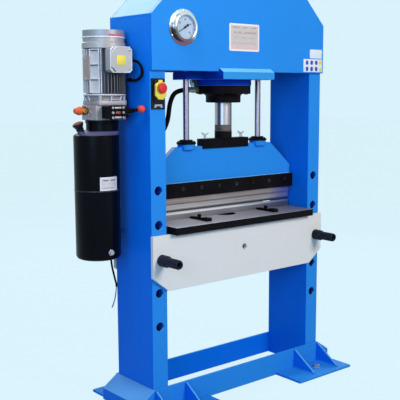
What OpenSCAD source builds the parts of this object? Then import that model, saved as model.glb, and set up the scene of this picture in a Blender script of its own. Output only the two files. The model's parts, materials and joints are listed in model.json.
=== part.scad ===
// Hydraulic shop press with a sheet bending tool and a side mounted power pack.
// Millimetres. X runs along the front, +Y runs into the depth, +Z is up.
// The origin is on the floor, midway between the posts.

/* [Frame] */
// Width over both posts
frame_w = 1070; // [900:5:1300]
// Width of one post, seen from the front
post_w = 82; // [60:1:120]
// Depth of one post
post_d = 280; // [220:2:340]
// Wall of the posts' box section
post_wall = 10; // [6:1:16]
// Height of the crown's lower edge above the floor
crown_z = 1524; // [1300:2:1800]
// Height of the crown's upright side
crown_side_h = 236; // [160:2:320]
// Chamfer of the crown's upper corners
crown_chamfer = 140; // [80:2:200]
// Thickness of the crown plates and the table plates
plate_t = 18; // [12:1:25]
// Thickness of the crown's cover plates
cover_t = 8; // [4:1:14]

/* [Base] */
// Height of the base rails
rail_h = 110; // [80:1:160]
// Thickness of the base rails
rail_t = 12; // [8:1:18]
// Overhang of the rails past each post
rail_over = 82; // [40:1:120]
// Thickness of the foot plates
foot_t = 12; // [8:1:18]
// Reach of the foot plates in front of the centre
foot_front = 322; // [240:1:420]
// Reach of the foot plates behind the centre
foot_back = 262; // [220:1:420]
// Clearance hole for an anchor bolt
anchor_d = 18; // [12:0.5:26]

/* [Table] */
// Height of the table's support pins above the floor
pin_z = 698; // [640:1:760]
// Pitch of the pin holes in the posts
pin_pitch = 153; // [120:1:180]
// Diameter of a support pin
pin_d = 40; // [30:0.5:50]
// Height of the table plates
table_h = 254; // [200:1:300]
// Thickness of the die plate
die_plate_t = 34; // [24:1:44]
// Reach of the die plate in front of and behind the centre
die_plate_y = 194; // [170:1:240]
// Diameter of the clearance hole in the die plate
die_hole_d = 112; // [60:1:140]

/* [Bending tool] */
// Height of the V block
vee_h = 30; // [24:1:45]
// Width of the V block
vee_w = 32; // [26:1:60]
// Opening of the V
vee_open = 16; // [10:0.5:24]
// Gap between the punch tip and the V block's top
tip_gap = 5; // [2:0.5:8]
// Height of the punch below its holder
punch_h = 69; // [50:1:90]
// Thickness of the punch's shank
punch_t = 16; // [12:0.5:24]
// Height of the punch holder and of its clamp bar
holder_h = 67; // [50:1:85]
// Thickness of the holder and of the clamp bar
holder_t = 26; // [18:1:34]

/* [Beam and ram] */
// Thickness of the press beam
beam_t = 32; // [24:1:44]
// Height of the press beam
beam_h = 166; // [130:1:200]
// Diameter of the ram
ram_d = 82; // [60:1:100]
// Diameter of the two guide rods
rod_d = 28; // [20:0.5:36]
// Distance between the guide rods
rod_pitch = 457; // [420:1:520]
// Length of the guide rods
rod_len = 412; // [395:1:480]

/* [Cylinder] */
// Outer diameter of the cylinder
barrel_d = 180; // [160:1:220]
// Bore of the cylinder
barrel_bore = 140; // [120:1:150]
// Length of the cylinder above its flange
barrel_h = 390; // [330:1:450]
// Diameter of the cylinder head's flange
head_d = 264; // [240:1:310]
// Diameter of the cylinder head's neck
neck_d = 168; // [140:1:190]
// Thickness of the cylinder's mount plate
mount_t = 35; // [25:1:45]

/* [Power pack] */
// Diameter of the tank
tank_d = 198; // [160:1:230]
// Height of the tank
tank_h = 546; // [440:1:640]
// Wall of the tank
tank_wall = 3; // [2:0.5:5]
// Diameter over the motor's fins
motor_d = 184; // [150:1:200]
// Length of the motor's finned housing
motor_h = 193; // [160:1:240]
// Number of fins around the motor
fin_count = 40; // [20:1:60]
// Side of the square terminal box
box_w = 110; // [90:1:130]
// Diameter of the pressure hose
hose_d = 22; // [16:0.5:26]

/* [Gauge and switch] */
// Diameter of the pressure gauge's flange
gauge_d = 156; // [130:1:190]
// Diameter of the gauge's bezel
bezel_d = 126; // [100:1:160]
// Depth of the gauge in front of the crown
gauge_t = 26; // [20:1:34]
// Width of the nameplate
plate_w = 186; // [120:1:220]
// Height of the nameplate
plate_h = 124; // [80:1:150]

/* [Hidden] */

// fits and clearances
run_gap = 0.08;
slide_gap = 0.4;
side_gap = 5;

hw = frame_w / 2;
in_x = hw - post_w;
hd = post_d / 2;
shoulder_z = crown_z + crown_side_h;
crown_top_z = shoulder_z + crown_chamfer;
front_y = -hd - plate_t;
post_x = hw - post_w / 2;
pin_hole_d = pin_d + 2 * run_gap;

// table
die_top_z = 841;
table_top_z = die_top_z - die_plate_t;
table_bot_z = table_top_z - table_h;
table_hx = hw + 5;
die_hx = in_x - 15;
stop_x = 215;
stop_y0 = -152;
stop_y1 = -vee_w / 2 - 6;
stud_y = -78;
slot_r = 5;
slot_l = 46;

// bending tool and beam
vee_top_z = die_top_z + vee_h;
tip_z = vee_top_z + tip_gap;
holder_z = tip_z + punch_h;
beam_z = holder_z + holder_h;
beam_top_z = beam_z + beam_h;
beam_hx = in_x - side_gap;
beam_cut_x = 145;
beam_cut_z = 121;
saddle_lap = 13;
bolt_pitch = 111;
bolt_n = 8;
saddle_h = 46;
saddle_hx = 144;
saddle_hy = 25;
saddle_top_z = beam_top_z - saddle_lap + saddle_h;
screw_x = 115;
screw_r = 4;
screw_l = 22;
rod_x = rod_pitch / 2;
boss_r = 42;
boss_h = 25;
boss_up = 12;
collar_z = beam_top_z + boss_up;

// cylinder
mount_z = crown_z - mount_t;
ring_h = 28;
ring_z = mount_z - ring_h;
head_t = 39;
head_z = ring_z - head_t;
gland_h = 41;
port_x = -119;
port_y = 41;
port_z = ring_z - 19;
gland_z = head_z - gland_h;
ram_bore_r = ram_d / 2 + run_gap;
piston_z = ring_z + 14;
piston_h = 60;
ram_head_z = saddle_top_z;
ram_head_h = 64;

// base
base_hx = hw + rail_over;
foot_x0 = in_x - 228;
foot_x1 = hw + 70;
gusset_t = 10;
gusset_toe = 30;
gusset_a = in_x - 100;
gusset_b = hw - 10;
anchor_x = (gusset_a + gusset_t + gusset_b) / 2;
anchor_y = 232;

// power pack
pack_x = -hw - 104;
pack_y = 50;
man_x0 = pack_x - 82;
man_x1 = pack_x + 71;
man_y0 = pack_y - 58;
man_y1 = pack_y + 58;
man_z0 = 1312;
man_z1 = 1376;
tank_x = pack_x - 40;
tank_y = pack_y + 12;
tank_top_z = 1248;
tank_bot_z = tank_top_z - tank_h;
tank_r = tank_d / 2;
neck_r = 70;
neck_x = pack_x - 14;
neck_y = pack_y + 3;
fill_x = tank_x - 72;
fill_tilt = -24;
fill_h = 18;
dome_h = 20;
motor_r = motor_d / 2;
motor_core_r = motor_r - 14;
shield_z = man_z1;
shield_h = 48;
motor_z = shield_z + shield_h;
top_shield_h = 45;
cowl_z = motor_z + motor_h + top_shield_h;
cowl_h = 31;
shaft_r = 12;
pad_a = 210;
pad_w = 48;
lug_r = motor_r - 8;
relief_y = pack_y + 14;
relief_z = 1352;
box_y1 = pack_y - motor_r - 3;
box_y0 = -84;
box_zc = 1567;
lid_t = 8;
box_x1 = pack_x + box_w / 2;
box_z0 = box_zc - box_w / 2;
box_z1 = box_zc + box_w / 2;
valve_x0 = pack_x - 57;
valve_x1 = pack_x + 13;
valve_y0 = -86;
valve_z0 = 1317;
valve_z1 = 1375;
pivot_x = valve_x1 + 22;
pivot_y = -60;
pivot_z = 1350;
knob_x = pack_x + 74;
knob_y = -120;
knob_z = 1360;

// gauge, nameplate, switch
gauge_x = -hw + 170;
gauge_z = crown_z + 185;
name_x = -7;
name_z = crown_z + 156;
name_r = 7;
switch_x = -post_x;
switch_z = crown_z - 90;
lid_y = -hd - 22;
sw_w = 70;
hinge_y = -hd - 20;
hinge_z = switch_z + 46;
button_z = switch_z + 14;
needle_a = 212;

// hose, cables and cord
hose_in_z = 1190;
hose_out_z = 1344;
cable_z = 1486;
cable_y = -18;
cord_z = 800;
cord_y = 110;
gland_y = -59;
gland_r = 9;
motor_cable_pts = [
  [box_x1 + 6, gland_y, box_zc], [box_x1 + 13, gland_y, box_zc], [-hw - 28, gland_y - 5, 1566],
  [-hw - 18, gland_y - 18, 1560], [-hw - 14, gland_y - 33, 1547], [-hw - 13, gland_y - 43, 1529],
  [-hw - 13, gland_y - 43, 1508], [-hw - 16, gland_y - 31, 1491], [-hw - 24, gland_y - 9, 1482],
  [-hw - 33, cable_y - 28, 1481], [-hw - 34, cable_y - 14, 1483], [-hw - 27, cable_y - 3, 1485],
  [-hw - 15, cable_y, cable_z], [-hw - 8, cable_y, cable_z]
];
hose_pts = [
  [man_x1 + 6, 18, hose_out_z], [-hw + 20, 19, hose_out_z - 3], [-hw + 40, 22, hose_out_z - 50],
  [-hw + 41, 32, hose_in_z + 60], [-hw + 52, 38, hose_in_z + 10], [-in_x, 38, hose_in_z],
  [-in_x + 44, 38, hose_in_z + 8], [-342, 38, hose_in_z + 56], [-309, 38, 1300],
  [-292, 38, 1380], [-264, 40, 1424], [-214, port_y, port_z - 2], [port_x - 36, port_y, port_z]
];
cord_pts = [
  [-hw - 22, cord_y, cord_z], [-hw - 31, cord_y, cord_z], [-hw - 45, cord_y, 777],
  [-hw - 50, cord_y, 735], [-hw - 50, cord_y, 690], [-hw - 45, cord_y, 640],
  [-hw - 32, cord_y, 585], [-hw - 23, cord_y, 545], [-hw - 30, cord_y, 495],
  [-hw - 48, cord_y, 445]
];

blue = [0.13, 0.48, 0.88];
grey = [0.80, 0.82, 0.84];
black = [0.07, 0.07, 0.08];
steel = [0.62, 0.62, 0.63];
chrome = [0.82, 0.83, 0.86];
alloy = [0.72, 0.74, 0.77];

module box(x0, x1, y0, y1, z0, z1) {
  translate([x0, y0, z0]) cube([x1 - x0, y1 - y0, z1 - z0]);
}

// an outline in X and Z, drawn out from y0 to y1
module slab(y0, y1) {
  translate([0, y1, 0]) rotate([90, 0, 0]) linear_extrude(height = y1 - y0) children();
}

// an outline in Y and Z, drawn out from x0 to x1
module bar(x0, x1) {
  translate([x0, 0, 0]) rotate([90, 0, 90]) linear_extrude(height = x1 - x0) children();
}

module rod_z(x, y, z0, z1, r) {
  translate([x, y, z0]) cylinder(h = z1 - z0, r = r, $fn = 48);
}

module rod_y(x, z, y0, y1, r) {
  translate([x, y1, z]) rotate([90, 0, 0]) cylinder(h = y1 - y0, r = r, $fn = 48);
}

module rod_x(y, z, x0, x1, r) {
  translate([x0, y, z]) rotate([0, 90, 0]) cylinder(h = x1 - x0, r = r, $fn = 48);
}

module hex_z(x, y, z0, z1, af) {
  translate([x, y, z0]) cylinder(h = z1 - z0, r = af / sqrt(3), $fn = 6);
}

// smooth line through the listed points
function cr(a, b, c, d, t) =
  0.5 * (2 * b + (c - a) * t + (2 * a - 5 * b + 4 * c - d) * t * t
    + (3 * b - a - 3 * c + d) * t * t * t);
function at(p, i) = p[max(0, min(len(p) - 1, i))];
function line_pts(p, n) = [
  for (i = [0:len(p) - 2]) for (k = [0:n - 1])
    cr(at(p, i - 1), p[i], p[i + 1], at(p, i + 2), k / n),
  p[len(p) - 1]
];
function unit(v) = v / norm(v);
function ring_dir(p, q, i) =
  i == 0 ? unit(p[1] - p[0])
  : i == len(q) - 1 ? unit(p[len(p) - 1] - p[len(p) - 2])
  : unit(q[i + 1] - q[i - 1]);

// round tube swept along the line, with flat ends
module tube(p, n, r, sides) {
  q = line_pts(p, n);
  m = len(q);
  pts = [for (i = [0:m - 1])
    let (d = ring_dir(p, q, i), s = unit(cross(d, [0, 1, 0])), u = cross(s, d))
    for (k = [0:sides - 1]) q[i] + r * (cos(k * 360 / sides) * s + sin(k * 360 / sides) * u)];
  walls = [for (i = [0:m - 2]) for (k = [0:sides - 1])
    [i * sides + k, i * sides + (k + 1) % sides,
     (i + 1) * sides + (k + 1) % sides, (i + 1) * sides + k]];
  first = [for (k = [0:sides - 1]) sides - 1 - k];
  last = [for (k = [0:sides - 1]) (m - 1) * sides + k];
  polyhedron(points = pts, faces = concat([first], walls, [last]));
}

// ---- frame ----

module post_section(s) {
  // s is -1 for the left post and 1 for the right post
  mirror([s > 0 ? 0 : 1, 0, 0])
  difference() {
    slab(-hd, hd) polygon([
      [in_x, 0], [hw, 0], [hw, shoulder_z - cover_t * sqrt(2)],
      [in_x, shoulder_z - cover_t * sqrt(2) + post_w]
    ]);
    box(in_x + post_wall, hw - post_wall, -hd + post_wall, hd - post_wall, -1, crown_top_z);
    for (i = [-2:2])
      rod_y(post_x, pin_z + i * pin_pitch, -hd - 1, hd + 1, pin_hole_d / 2);
  }
}

module left_post() color(blue) difference() {
  post_section(-1);
  rod_x(38, hose_in_z, -in_x - post_wall - 1, -in_x + 1, hose_d / 2 + 2);
  rod_x(18, hose_out_z, -hw - 1, -hw + post_wall + 1, hose_d / 2 + 2);
  rod_x(cable_y, cable_z, -hw - 1, -hw + post_wall + 1, 6);
  rod_x(cord_y, cord_z, -hw - 1, -hw + post_wall + 1, 6);
  // opening behind the switch
  rod_y(switch_x, switch_z, -hd - 1, -hd + post_wall + 1, 17);
}

module right_post() color(blue) post_section(1);

module crown_outline() {
  polygon([
    [-hw, crown_z], [hw, crown_z], [hw, shoulder_z], [hw - crown_chamfer, crown_top_z],
    [-hw + crown_chamfer, crown_top_z], [-hw, shoulder_z]
  ]);
}

module crown_plates() color(blue) {
  difference() {
    slab(front_y, -hd) crown_outline();
    rod_y(gauge_x, gauge_z, front_y - 1, -hd + 1, 12);
  }
  slab(hd, -front_y) crown_outline();
}

module crown_covers() color(blue) {
  k = cover_t * sqrt(2);
  for (s = [0, 1]) mirror([s, 0, 0])
    slab(-hd, hd) polygon([
      [hw, shoulder_z - k], [hw, shoulder_z],
      [hw - crown_chamfer, crown_top_z], [hw - crown_chamfer, crown_top_z - k]
    ]);
  box(-hw + crown_chamfer, hw - crown_chamfer, -hd, hd, crown_top_z - cover_t, crown_top_z);
}

module cylinder_mount_plate() color(blue) difference() {
  lip_x = 162;
  lip_y = -front_y + 30;
  union() {
    bar(-lip_x, lip_x) polygon([
      [-lip_y, mount_z], [lip_y, mount_z], [lip_y, crown_z - 2], [-front_y, crown_z + 16],
      [-front_y, crown_z], [front_y, crown_z], [front_y, crown_z + 16], [-lip_y, crown_z - 2]
    ]);
    box(-rod_x - 34, rod_x + 34, -50, 50, mount_z, crown_z);
    translate([0, 0, ring_z]) cylinder(h = ring_h, r = head_d / 2 + 3, $fn = 96);
  }
  translate([0, 0, ring_z - 1]) cylinder(h = 200, r = barrel_d / 2, $fn = 96);
  for (s = [-1, 1]) rod_z(s * rod_x, 0, mount_z - 1, crown_z + 1, rod_d / 2 + 6);
}

module guide_bushes() color([0.72, 0.55, 0.28])
  for (s = [-1, 1]) difference() {
    rod_z(s * rod_x, 0, mount_z, crown_z + 6, rod_d / 2 + 6);
    rod_z(s * rod_x, 0, mount_z - 1, crown_z + 7, rod_d / 2 + run_gap);
  }

// ---- base ----

module base_rails() color(blue) {
  for (s = [0, 1]) mirror([0, s, 0])
    slab(-hd - rail_t, -hd) polygon([
      [-base_hx, 0], [base_hx, 0], [base_hx, rail_h / 2], [hw, rail_h], [-hw, rail_h],
      [-base_hx, rail_h / 2]
    ]);
  // sloped end covers with their upright end plates
  for (s = [0, 1]) mirror([s, 0, 0])
    slab(-hd, hd) polygon([
      [base_hx - 8, 0], [base_hx, 0], [base_hx, rail_h / 2], [hw, rail_h],
      [hw, rail_h - 10], [base_hx - 8, rail_h / 2 - 5]
    ]);
}

// foot plate with its two welded gussets, in front of the rails and behind them
module foot(reach) {
  rail_y = hd + rail_t;
  difference() {
    box(foot_x0, foot_x1, rail_y, reach, 0, foot_t);
    rod_z(anchor_x, anchor_y, -1, foot_t + 1, anchor_d / 2);
  }
  for (x = [gusset_a, gusset_b]) bar(x, x + gusset_t) polygon([
    [rail_y, foot_t], [rail_y, rail_h - 4], [rail_y + 8, rail_h - 4],
    [reach - gusset_toe, foot_t + 8], [reach - gusset_toe, foot_t]
  ]);
}

module foot_plates() color(blue) for (s = [0, 1]) mirror([s, 0, 0]) {
  mirror([0, 1, 0]) foot(foot_front);
  foot(foot_back);
}

module anchor_bolts() color(steel)
  for (sx = [-1, 1]) for (sy = [-1, 1]) {
    x = sx * anchor_x;
    y = sy * anchor_y;
    rod_z(x, y, 0, foot_t + 3, anchor_d / 2 - 1);
    difference() {
      rod_z(x, y, foot_t, foot_t + 3, anchor_d / 2 + 7);
      rod_z(x, y, foot_t - 1, foot_t + 4, anchor_d / 2 - 1);
    }
    hex_z(x, y, foot_t + 3, foot_t + 14, anchor_d + 8);
  }

// ---- table ----

module table_outline() {
  cx = 85;
  cz = 67;
  polygon([
    [-table_hx + cx, table_bot_z], [table_hx - cx, table_bot_z],
    [table_hx, table_bot_z + cz], [table_hx, table_top_z],
    [-table_hx, table_top_z], [-table_hx, table_bot_z + cz]
  ]);
}

module table_plate(y0, y1) difference() {
  slab(y0, y1) table_outline();
  for (s = [-1, 1]) rod_y(s * post_x, pin_z, y0 - 1, y1 + 1, pin_hole_d / 2);
  rod_y(0, pin_z, y0 - 1, y1 + 1, 14);
}

module table_side_plates() color(grey) {
  table_plate(front_y, -hd);
  table_plate(hd, -front_y);
}

module table_spacers() color(grey)
  for (x = [-in_x + 70, -70, 50, in_x - 90])
    box(x, x + 20, -hd, hd, table_bot_z + 24, table_top_z - 40);

module die_plate() color([0.36, 0.36, 0.40]) difference() {
  box(-die_hx, die_hx, -die_plate_y, die_plate_y, table_top_z, die_top_z);
  rod_z(0, -10, table_top_z - 1, die_top_z + 1, die_hole_d / 2);
  for (s = [-1, 1]) {
    box(s * stop_x - slot_r, s * stop_x + slot_r, stud_y - slot_l, stud_y + 6,
      table_top_z - 1, die_top_z + 1);
    for (y = [stud_y - slot_l, stud_y + 6])
      rod_z(s * stop_x, y, table_top_z - 1, die_top_z + 1, slot_r);
  }
}

module v_die() color(steel)
  bar(-beam_hx + 10, beam_hx - 10) polygon([
    [-vee_w / 2, die_top_z], [vee_w / 2, die_top_z], [vee_w / 2, vee_top_z - 11],
    [vee_w / 2 - 7, vee_top_z], [vee_open / 2, vee_top_z],
    [0, vee_top_z - vee_open / 2], [-vee_open / 2, vee_top_z],
    [-vee_w / 2 + 7, vee_top_z], [-vee_w / 2, vee_top_z - 11]
  ]);

module table_pin(s) color([0.16, 0.17, 0.18])
  translate([s * post_x, -front_y + 12, pin_z]) rotate([90, 0, 0])
    rotate_extrude($fn = 64) {
      l = -2 * front_y + 12 + slide_gap;
      polygon([
        [0, 0], [pin_d / 2 - 3, 0], [pin_d / 2, 3], [pin_d / 2, l], [26, l],
        [26, l + 42], [24, l + 46], [21, l + 50], [21, l + 122], [19, l + 127],
        [16, l + 128], [13, l + 127], [12, l + 124], [12, l + 84], [0, l + 80]
      ]);
    }

module left_table_pin() table_pin(-1);
module right_table_pin() table_pin(1);

// flat stop bar on the die plate, held by a stud and a thumb nut
module gauge_stop(s) color(black) {
  x = s * stop_x;
  z = die_top_z + slide_gap;
  difference() {
    union() {
      box(x - 11, x + 11, stop_y0, stop_y1, z, z + 9);
      box(x - 15, x + 15, stop_y0, stop_y0 + 42, z, z + 15);
    }
    rod_z(x, stud_y, z - 1, z + 20, 4);
  }
  rod_z(x, stud_y, table_top_z - 12, z + 12, 4);
  hex_z(x, stud_y, table_top_z - 10, table_top_z - slide_gap, 16);
  translate([x, stud_y, z + 9]) cylinder(h = 4, r = 7, $fn = 32);
  translate([x, stud_y, z + 13]) cylinder(h = 12, r = 9.5, $fn = 24);
}

module left_gauge_stop() gauge_stop(-1);
module right_gauge_stop() gauge_stop(1);

// ---- cylinder ----

module cylinder_barrel() color(steel) difference() {
  translate([0, 0, ring_z]) cylinder(h = barrel_h, r = barrel_d / 2, $fn = 96);
  translate([0, 0, ring_z - 1]) cylinder(h = barrel_h - 24, r = barrel_bore / 2, $fn = 96);
}

module cylinder_head() color(black) difference() {
  rotate_extrude($fn = 96) polygon(concat(
    [[ram_bore_r, gland_z], [neck_d / 2 - 3, gland_z], [neck_d / 2, gland_z + 3]],
    [for (i = [0:6]) [neck_d / 2 + 14 - 14 * cos(i * 15), head_z - 14 + 14 * sin(i * 15)]],
    [[head_d / 2 - 2, head_z], [head_d / 2, head_z + 2], [head_d / 2, ring_z],
     [ram_bore_r, ring_z]]
  ));
  for (a = [0:45:315]) rotate([0, 0, a]) {
    rod_z(head_d / 2 - 22, 0, head_z - 1, ring_z + 1, 6.5);
    rod_z(head_d / 2 - 22, 0, head_z - 1, head_z + 9, 10);
  }
  // oil port with its spot face on the left
  rod_x(port_y, port_z, -head_d / 2 - 1, port_x, 16);
  rod_x(port_y, port_z, port_x - 1, port_x + 26, 8);
}

module flange_bolts() color(steel)
  for (a = [0:45:315]) rotate([0, 0, a]) {
    rod_z(head_d / 2 - 22, 0, head_z + 9, ring_z, 6.5);
    rod_z(head_d / 2 - 22, 0, head_z - 3, head_z + 9, 9);
  }

module ram_rod() color(chrome) {
  rotate_extrude($fn = 96) polygon([
    [0, ram_head_z + ram_head_h], [ram_d / 2, ram_head_z + ram_head_h],
    [ram_d / 2, piston_z], [barrel_bore / 2 - run_gap, piston_z],
    [barrel_bore / 2 - run_gap, piston_z + 18], [barrel_bore / 2 - 4, piston_z + 18],
    [barrel_bore / 2 - 4, piston_z + 30], [barrel_bore / 2 - run_gap, piston_z + 30],
    [barrel_bore / 2 - run_gap, piston_z + piston_h], [0, piston_z + piston_h]
  ]);
}

module ram_head() color([0.13, 0.11, 0.11])
  rotate_extrude($fn = 96) polygon([
    [0, ram_head_z], [ram_d / 2 + 1, ram_head_z], [ram_d / 2 + 1, ram_head_z + 37],
    [ram_d / 2 - 0.5, ram_head_z + 38.5], [ram_d / 2, ram_head_z + 40],
    [ram_d / 2, ram_head_z + ram_head_h], [0, ram_head_z + ram_head_h]
  ]);

module ram_flange() color(black) difference() {
  box(-saddle_hx, saddle_hx, -saddle_hy, saddle_hy, beam_top_z - saddle_lap, saddle_top_z);
  box(-saddle_hx - 1, saddle_hx + 1, -beam_t / 2, beam_t / 2, beam_top_z - saddle_lap - 1,
    beam_top_z);
  for (s = [-1, 1])
    rod_z(s * screw_x, 0, saddle_top_z - screw_l - 2, saddle_top_z + 1, screw_r + run_gap);
}

// wing screw standing in the saddle
module wing_screw(s) color(chrome) translate([s * screw_x, 0, saddle_top_z + slide_gap]) {
  translate([0, 0, -screw_l]) cylinder(h = screw_l + 6, r = screw_r, $fn = 32);
  cylinder(h = 12, r = 6.5, $fn = 32);
  translate([0, 0, 12]) cylinder(h = 6, r = 5, $fn = 32);
  translate([-24, 0, 0]) slab(-2, 2) polygon([
    [20, 6], [28, 6], [30, 14], [42, 22], [46, 28], [40, 30], [30, 24], [18, 24], [8, 30],
    [2, 28], [6, 22], [18, 14]
  ]);
}

module left_wing_screw() wing_screw(-1);
module right_wing_screw() wing_screw(1);

// ---- beam and tool ----

module press_beam() color(blue) difference() {
  union() {
    slab(-beam_t / 2, beam_t / 2) polygon([
      [-beam_hx, beam_z], [beam_hx, beam_z], [beam_hx, beam_top_z - beam_cut_z],
      [beam_hx - beam_cut_x, beam_top_z], [-beam_hx + beam_cut_x, beam_top_z],
      [-beam_hx, beam_top_z - beam_cut_z]
    ]);
    for (s = [-1, 1]) rod_z(s * rod_x, 0, collar_z - boss_h, collar_z, boss_r);
  }
  for (s = [-1, 1]) rod_z(s * rod_x, 0, collar_z - 60, collar_z + 1, rod_d / 2);
}

module guide_rods() color(chrome)
  for (s = [-1, 1]) rod_z(s * rod_x, 0, collar_z - 60, collar_z - 60 + rod_len, rod_d / 2);

module guide_rod_collars() color(black)
  for (s = [-1, 1]) translate([s * rod_x, 0, collar_z]) difference() {
    union() {
      cylinder(h = 9, r = 46, $fn = 64);
      cylinder(h = 20, r = 31, $fn = 64);
    }
    translate([0, 0, -1]) cylinder(h = 30, r = rod_d / 2, $fn = 48);
  }

module punch_holder() color(black)
  box(-beam_hx, beam_hx, punch_t / 2, punch_t / 2 + holder_t, holder_z, beam_z);

module bolt_row(r, y0, y1)
  for (i = [0:bolt_n - 1])
    rod_y((i - (bolt_n - 1) / 2) * bolt_pitch, holder_z + holder_h * 0.6, y0, y1, r);

module punch_clamp_bar() color(black) difference() {
  box(-beam_hx, beam_hx, -punch_t / 2 - holder_t, -punch_t / 2, holder_z, beam_z);
  bolt_row(6, -punch_t / 2 - holder_t - 1, -punch_t / 2 + 1);
  bolt_row(9, -punch_t / 2 - holder_t - 1, -punch_t / 2 - holder_t + 8);
}

module clamp_bolts() color([0.25, 0.25, 0.26]) {
  bolt_row(6, -punch_t / 2 - holder_t + 8, -punch_t / 2);
  difference() {
    bolt_row(8.8, -punch_t / 2 - holder_t - 4, -punch_t / 2 - holder_t + 8);
    for (i = [0:bolt_n - 1])
      translate([(i - (bolt_n - 1) / 2) * bolt_pitch, -punch_t / 2 - holder_t + 3,
        holder_z + holder_h * 0.6]) rotate([90, 0, 0])
        cylinder(h = 10, r = 5, $fn = 6);
  }
}

module punch() color(steel)
  bar(-beam_hx + 4, beam_hx - 4) polygon([
    [-0.6, tip_z], [0.6, tip_z], [10, tip_z + 9.4], [10, tip_z + 36], [14, tip_z + 42],
    [14, holder_z], [punch_t / 2, holder_z], [punch_t / 2, beam_z], [-punch_t / 2, beam_z],
    [-punch_t / 2, holder_z], [-14, holder_z], [-14, tip_z + 42], [-10, tip_z + 36],
    [-10, tip_z + 9.4]
  ]);

// ---- power pack ----

module tank_shell() color(black) {
  difference() {
    union() {
      translate([tank_x, tank_y, 0]) rotate_extrude($fn = 96) polygon([
        [0, tank_bot_z], [tank_r - 16, tank_bot_z], [tank_r - 5, tank_bot_z + 5],
        [tank_r, tank_bot_z + 16], [tank_r, tank_top_z - 4], [tank_r - 4, tank_top_z],
        [tank_r - 40, tank_top_z + dome_h], [0, tank_top_z + dome_h]
      ]);
      rod_z(neck_x, neck_y, tank_top_z + 2, man_z0 - 6, neck_r);
      rod_z(neck_x, neck_y, man_z0 - 14, man_z0, neck_r + 3);
      translate([fill_x, tank_y, tank_top_z + 6]) rotate([0, fill_tilt, 0])
        cylinder(h = fill_h, r = 15, $fn = 32);
    }
    translate([tank_x, tank_y, 0]) rotate_extrude($fn = 96) polygon([
      [0, tank_bot_z + tank_wall], [tank_r - 18, tank_bot_z + tank_wall],
      [tank_r - tank_wall, tank_bot_z + 18], [tank_r - tank_wall, tank_top_z - 6],
      [tank_r - 42, tank_top_z + dome_h - tank_wall], [0, tank_top_z + dome_h - tank_wall]
    ]);
    rod_z(neck_x, neck_y, tank_top_z - 8, man_z0 + 1, neck_r - tank_wall);
    translate([fill_x, tank_y, tank_top_z + 6]) rotate([0, fill_tilt, 0])
      translate([0, 0, -14]) cylinder(h = 60, r = 11, $fn = 32);
    rod_y(tank_x, tank_bot_z + 38, tank_y - tank_r - 1, tank_y - tank_r + 12, 9);
  }
}

module drain_plug() color(chrome) translate([tank_x, tank_y - tank_r, tank_bot_z + 38])
  rotate([90, 0, 0]) {
    translate([0, 0, -8]) cylinder(h = 9, r = 9, $fn = 48);
    translate([0, 0, 1]) cylinder(h = 4, r = 13, $fn = 48);
    translate([0, 0, 5]) cylinder(h = 9, r = 10, $fn = 6);
  }

// breather cap, funnel shaped, on the tilted filler neck
module filler_cap() color([0.10, 0.09, 0.10])
  translate([fill_x, tank_y, tank_top_z + 6]) rotate([0, fill_tilt, 0])
    translate([0, 0, fill_h + slide_gap]) rotate_extrude($fn = 64) polygon([
      [0, 0], [17, 0], [17, 4], [15, 6], [17, 10], [23, 22], [24.5, 25], [24.5, 28], [22, 31],
      [0, 32]
    ]);

module manifold_block() color(alloy) difference() {
  union() {
    box(man_x0, man_x1, man_y0, man_y1, man_z0, man_z1);
    // hexagonal plug head on the left face
    rod_x(pack_y - 10, 1340, man_x0 - 3, man_x0 + 1, 11);
  }
  rod_x(pack_y - 10, 1340, man_x0 - 4, man_x0 + 6, 6);
  rod_x(relief_y, relief_z, man_x0 - 1, man_x0 + 24, 12);
  rod_z(pack_x, pack_y, man_z0 - 1, man_z1 + 1, shaft_r + 10);
  rod_x(18, hose_out_z, man_x1 - 20, man_x1 + 1, 8);
}

module relief_valve() color([0.76, 0.60, 0.30]) {
  rod_x(relief_y, relief_z, man_x0 - 6, man_x0 + 22, 12);
  translate([man_x0 - 24, relief_y, relief_z]) rotate([0, 90, 0])
    cylinder(h = 18, r = 18, $fn = 6);
  rod_x(relief_y, relief_z, man_x0 - 30, man_x0 - 24, 13);
}

module relief_knob() color([0.90, 0.36, 0.12])
  translate([man_x0 - 30 - slide_gap, relief_y, relief_z]) rotate([0, -90, 0])
    rotate_extrude($fn = 48) polygon([
      [0, 0], [17, 0], [18.5, 3], [18.5, 14], [14, 22], [13, 27], [10, 32], [0, 34]
    ]);

module valve_body() color(black) {
  box(valve_x0 + 4, valve_x1 - 4, valve_y0 + 14, man_y0, valve_z0 + 3, valve_z1 - 3);
  difference() {
    box(valve_x0, valve_x1, valve_y0, valve_y0 + 14, valve_z0, valve_z1);
    for (i = [-1:1]) for (x = [valve_x0 + 9, valve_x1 - 9])
      rod_y(x, (valve_z0 + valve_z1) / 2 + i * 21, valve_y0 - 1, valve_y0 + 3, 5);
  }
  // spool housing at the lever's end
  difference() {
    box(valve_x1 - 4, pivot_x, pivot_y - 20, pivot_y + 20, pivot_z - 20, pivot_z + 22);
    rod_x(pivot_y, pivot_z, pivot_x - 16, pivot_x + 1, 5 + run_gap);
  }
}

module valve_lever() color([0.20, 0.20, 0.21]) {
  hub_x = pivot_x + 7;
  rod_x(pivot_y, pivot_z, pivot_x - 14, pivot_x + 2, 5);
  rod_x(pivot_y, pivot_z, pivot_x + slide_gap, pivot_x + 13, 10);
  v = [knob_x - hub_x, knob_y - pivot_y, knob_z - pivot_z];
  l = norm(v);
  translate([hub_x, pivot_y, pivot_z])
    rotate([0, 0, atan2(v[1], v[0])]) rotate([0, 90 - asin(v[2] / l), 0])
      translate([0, 0, 6]) cylinder(h = l - 12, r = 4.5, $fn = 32);
  translate([knob_x, knob_y, knob_z]) sphere(r = 18, $fn = 48);
}

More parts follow.
